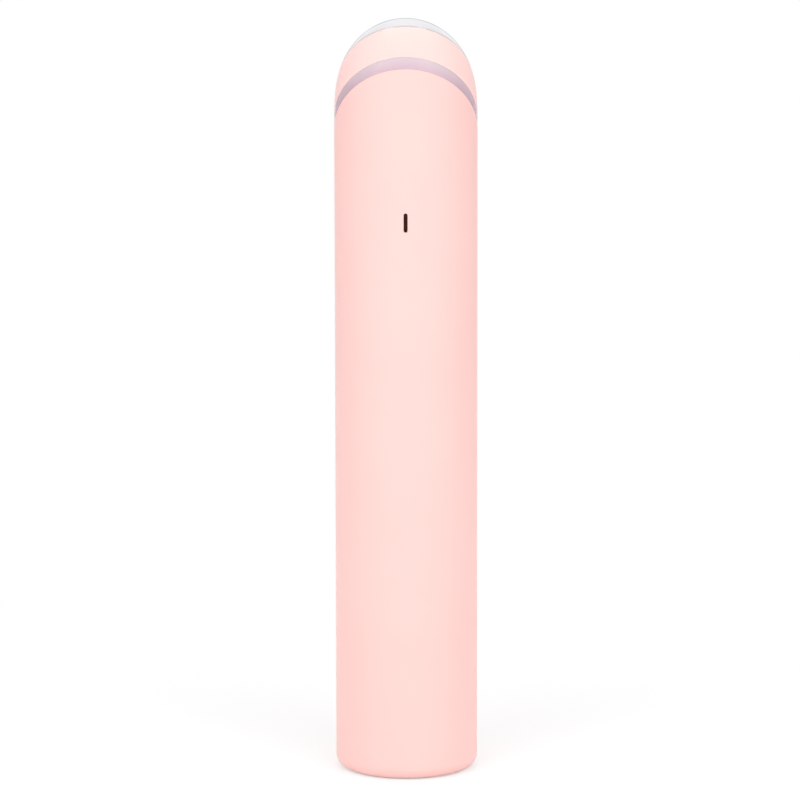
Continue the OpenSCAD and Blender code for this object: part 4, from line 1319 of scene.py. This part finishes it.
# Head screws
# Three longer screws of the same kind, put in from under the deck, which pull the whole
# head down on the light ring and close the wand.
screw_ring_r, screw_seat = 6.6, -6.9348
head_screw = screw("long_screw", r=0.8, head_r=1.5, head_h=1.1, shaft_l=9.2348, pitch=0.4,
                   finish=zinc)
spots = []
for angle in (30, 150, 270):
    x, y = screw_ring_r * cos(radians(angle)), screw_ring_r * sin(radians(angle))
    spots.append(((x, y, rim_z - y * slant + screw_seat), (0, 0, 0)))
long_screws = set_out("head_fixing_screws", head_screw, spots, zinc)
joined(long_screws, "housing", "steel", "head_screws")


# Studio
# A plain white sweep in a bright room. Soft lamps, two high and two low in front and a
# weak one behind, light the wand. Two tinted cards at its sides and a shaded one above,
# which show only in reflections, draw its edges and its polished head.
floor_half = 4
card_front, card_far, card_low, card_high = (0.4, -0.3), (0.3, 1.2), 0.001, 0.125
top_front, top_far = (0.03, 0.003, 0.15), (0.08, 0.15, 0.195)
lit_z = 0.08


def plain_white():
    """White that glows to the camera, so that the wand's shadow stays faint and close."""
    finish, place = new_finish("studio_floor")
    tone = place.grain(3, 2).blend(colour(246, 246, 246), colour(250, 250, 250))
    seen = place.node("ShaderNodeLightPath", {}, {}, "Is Camera Ray")
    away = place.node("ShaderNodeVectorMath", {"operation": "LENGTH"}, {0: place}, "Value")
    paint = place.node("ShaderNodeBsdfDiffuse", {}, {"Color": tone})
    glow = place.node("ShaderNodeEmission", {}, {"Color": (1, 1, 1, 1), "Strength": 1.0})
    share = seen * (0.55 + 0.45 * away.between(0.02, 0.16))
    both = place.node("ShaderNodeMixShader", {}, {0: share, 1: paint, 2: glow})
    place.node("ShaderNodeOutputMaterial", {}, {"Surface": both})
    return finish


def shaded_card(name, shade, dark):
    """White card that is sprayed dark where its shade, worked out from a place, is 1."""
    finish, place = new_finish(name)
    tone = shade(place).blend((1, 1, 1, 1), dark)
    paint = place.node("ShaderNodeEmission", {}, {"Color": tone, "Strength": 1.0})
    place.node("ShaderNodeOutputMaterial", {}, {"Surface": paint})
    return finish


def sheet_of(name, corners, finish):
    """A flat sheet of the studio, kept out of the part."""
    mesh = bpy.data.meshes.new(name)
    mesh.from_pydata(corners, [], [(0, 1, 2, 3)])
    mesh.materials.append(finish)
    made = bpy.data.objects.new(name, mesh)
    bpy.context.scene.collection.objects.link(made)
    return made


def side_shade(place):
    """The side cards are darkest in the middle of their length."""
    y = place.part("Y")
    return y.between(-0.32, 0.2) * (1 - y.between(0.44, 1.1))


def top_shade(place):
    """The top card has a dark wedge along its middle, wider towards the back."""
    x, y = place.part("X"), place.part("Y")
    return y.between(0.008, 0.045) * (1 - (abs(x) - 0.35 * y).between(0.002, 0.022))


sheet_of("floor", [(x * floor_half, y * floor_half, 0)
                   for x, y in ((-1, -1), (1, -1), (1, 1), (-1, 1))], plain_white())
side_card = shaded_card("side_card", side_shade, colour(203, 185, 194))
cards = [sheet_of("side_card_" + word, [
    (hand * x, y, z) for (x, y), z in (
        (card_front, card_low), (card_far, card_low), (card_far, card_high),
        (card_front, card_high))], side_card) for hand, word in ((-1, "left"), (1, "right"))]
cards.append(sheet_of("top_card", [
    (hand * x, y, z) for hand, (x, y, z) in (
        (-1, top_front), (1, top_front), (1, top_far), (-1, top_far))],
    shaded_card("top_card", top_shade, colour(184, 184, 191))))
for card in cards:
    card.visible_camera = False
    card.visible_diffuse = False
    card.visible_shadow = False
    card.visible_transmission = False

world = bpy.data.worlds.new("studio")
bpy.context.scene.world = world
world.use_nodes = True
world.node_tree.nodes.clear()
air = Tone(world.node_tree)
seen, polish, clear = (air.node("ShaderNodeLightPath", {}, {}, "Is " + kind + " Ray")
                       for kind in ("Camera", "Glossy", "Transmission"))
towards = air.node("ShaderNodeTexCoord", {}, {}, "Generated")
room = (0.24 + 0.47 * towards.part("Z").between(-0.1, 0.9)
        + 0.55 * towards.part("Y").between(0.2, 0.95))
walls = (1 - 0.08 * abs(towards.part("X")).between(0.35, 0.95)
         - 0.32 * towards.part("Y").between(0.8, 1.0))
plain = air.math("MINIMUM", seen + clear, 1.0)
shown = plain + (1 - plain) * polish * walls
sky = air.node("ShaderNodeBackground", {}, {
    "Color": (1, 1, 1, 1), "Strength": room * (1 - plain) * (1 - polish) + shown})
air.node("ShaderNodeOutputWorld", {}, {"Surface": sky})


def soft_lamp(name, place, wide, tall, power, shines=True):
    """A soft box turned to the wand, which shows in reflections only if it shines."""
    light = bpy.data.lights.new(name, "AREA")
    light.shape = "RECTANGLE"
    light.size, light.size_y = wide, tall
    light.energy = power
    lamp = bpy.data.objects.new(name, light)
    lamp.location = place
    towards_wand = Vector((0, 0, lit_z)) - Vector(place)
    lamp.rotation_euler = towards_wand.to_track_quat("-Z", "Y").to_euler()
    lamp.visible_glossy = shines
    bpy.context.scene.collection.objects.link(lamp)


for word, hand in (("left", -1), ("right", 1)):
    soft_lamp("lamp_high_" + word, (hand * 0.45, -0.78, 1.12), wide=0.8, tall=0.9, power=5.4,
              shines=False)
    soft_lamp("lamp_low_" + word, (hand * 0.74, -1.0, 0.60), wide=0.4, tall=0.5, power=1.4)
soft_lamp("lamp_behind", (0, 1.1, 0.9), wide=1.2, tall=0.9, power=1.1, shines=False)

# The camera looks at the wand's back from a little above, as in the photograph.
view = bpy.data.cameras.new("camera")
view.lens, view.sensor_width = 246.13, 36
view.clip_start, view.clip_end = 0.01, 30
camera = bpy.data.objects.new("camera", view)
away, rise, roll = 1.0, radians(10.39), 0.0016
aim_x, aim_z = -0.001143, 0.06845
yaw = Matrix.Rotation(radians(0.4), 3, "Z")
camera.location = yaw @ Vector((aim_x, -away * cos(rise), aim_z + away * sin(rise)))
camera.rotation_euler = (yaw @ Matrix.Rotation(pi / 2 - rise, 3, "X")
                         @ Matrix.Rotation(-roll, 3, "Z")).to_euler()
bpy.context.scene.collection.objects.link(camera)
bpy.context.scene.camera = camera
bpy.context.scene.view_settings.view_transform = "Standard"
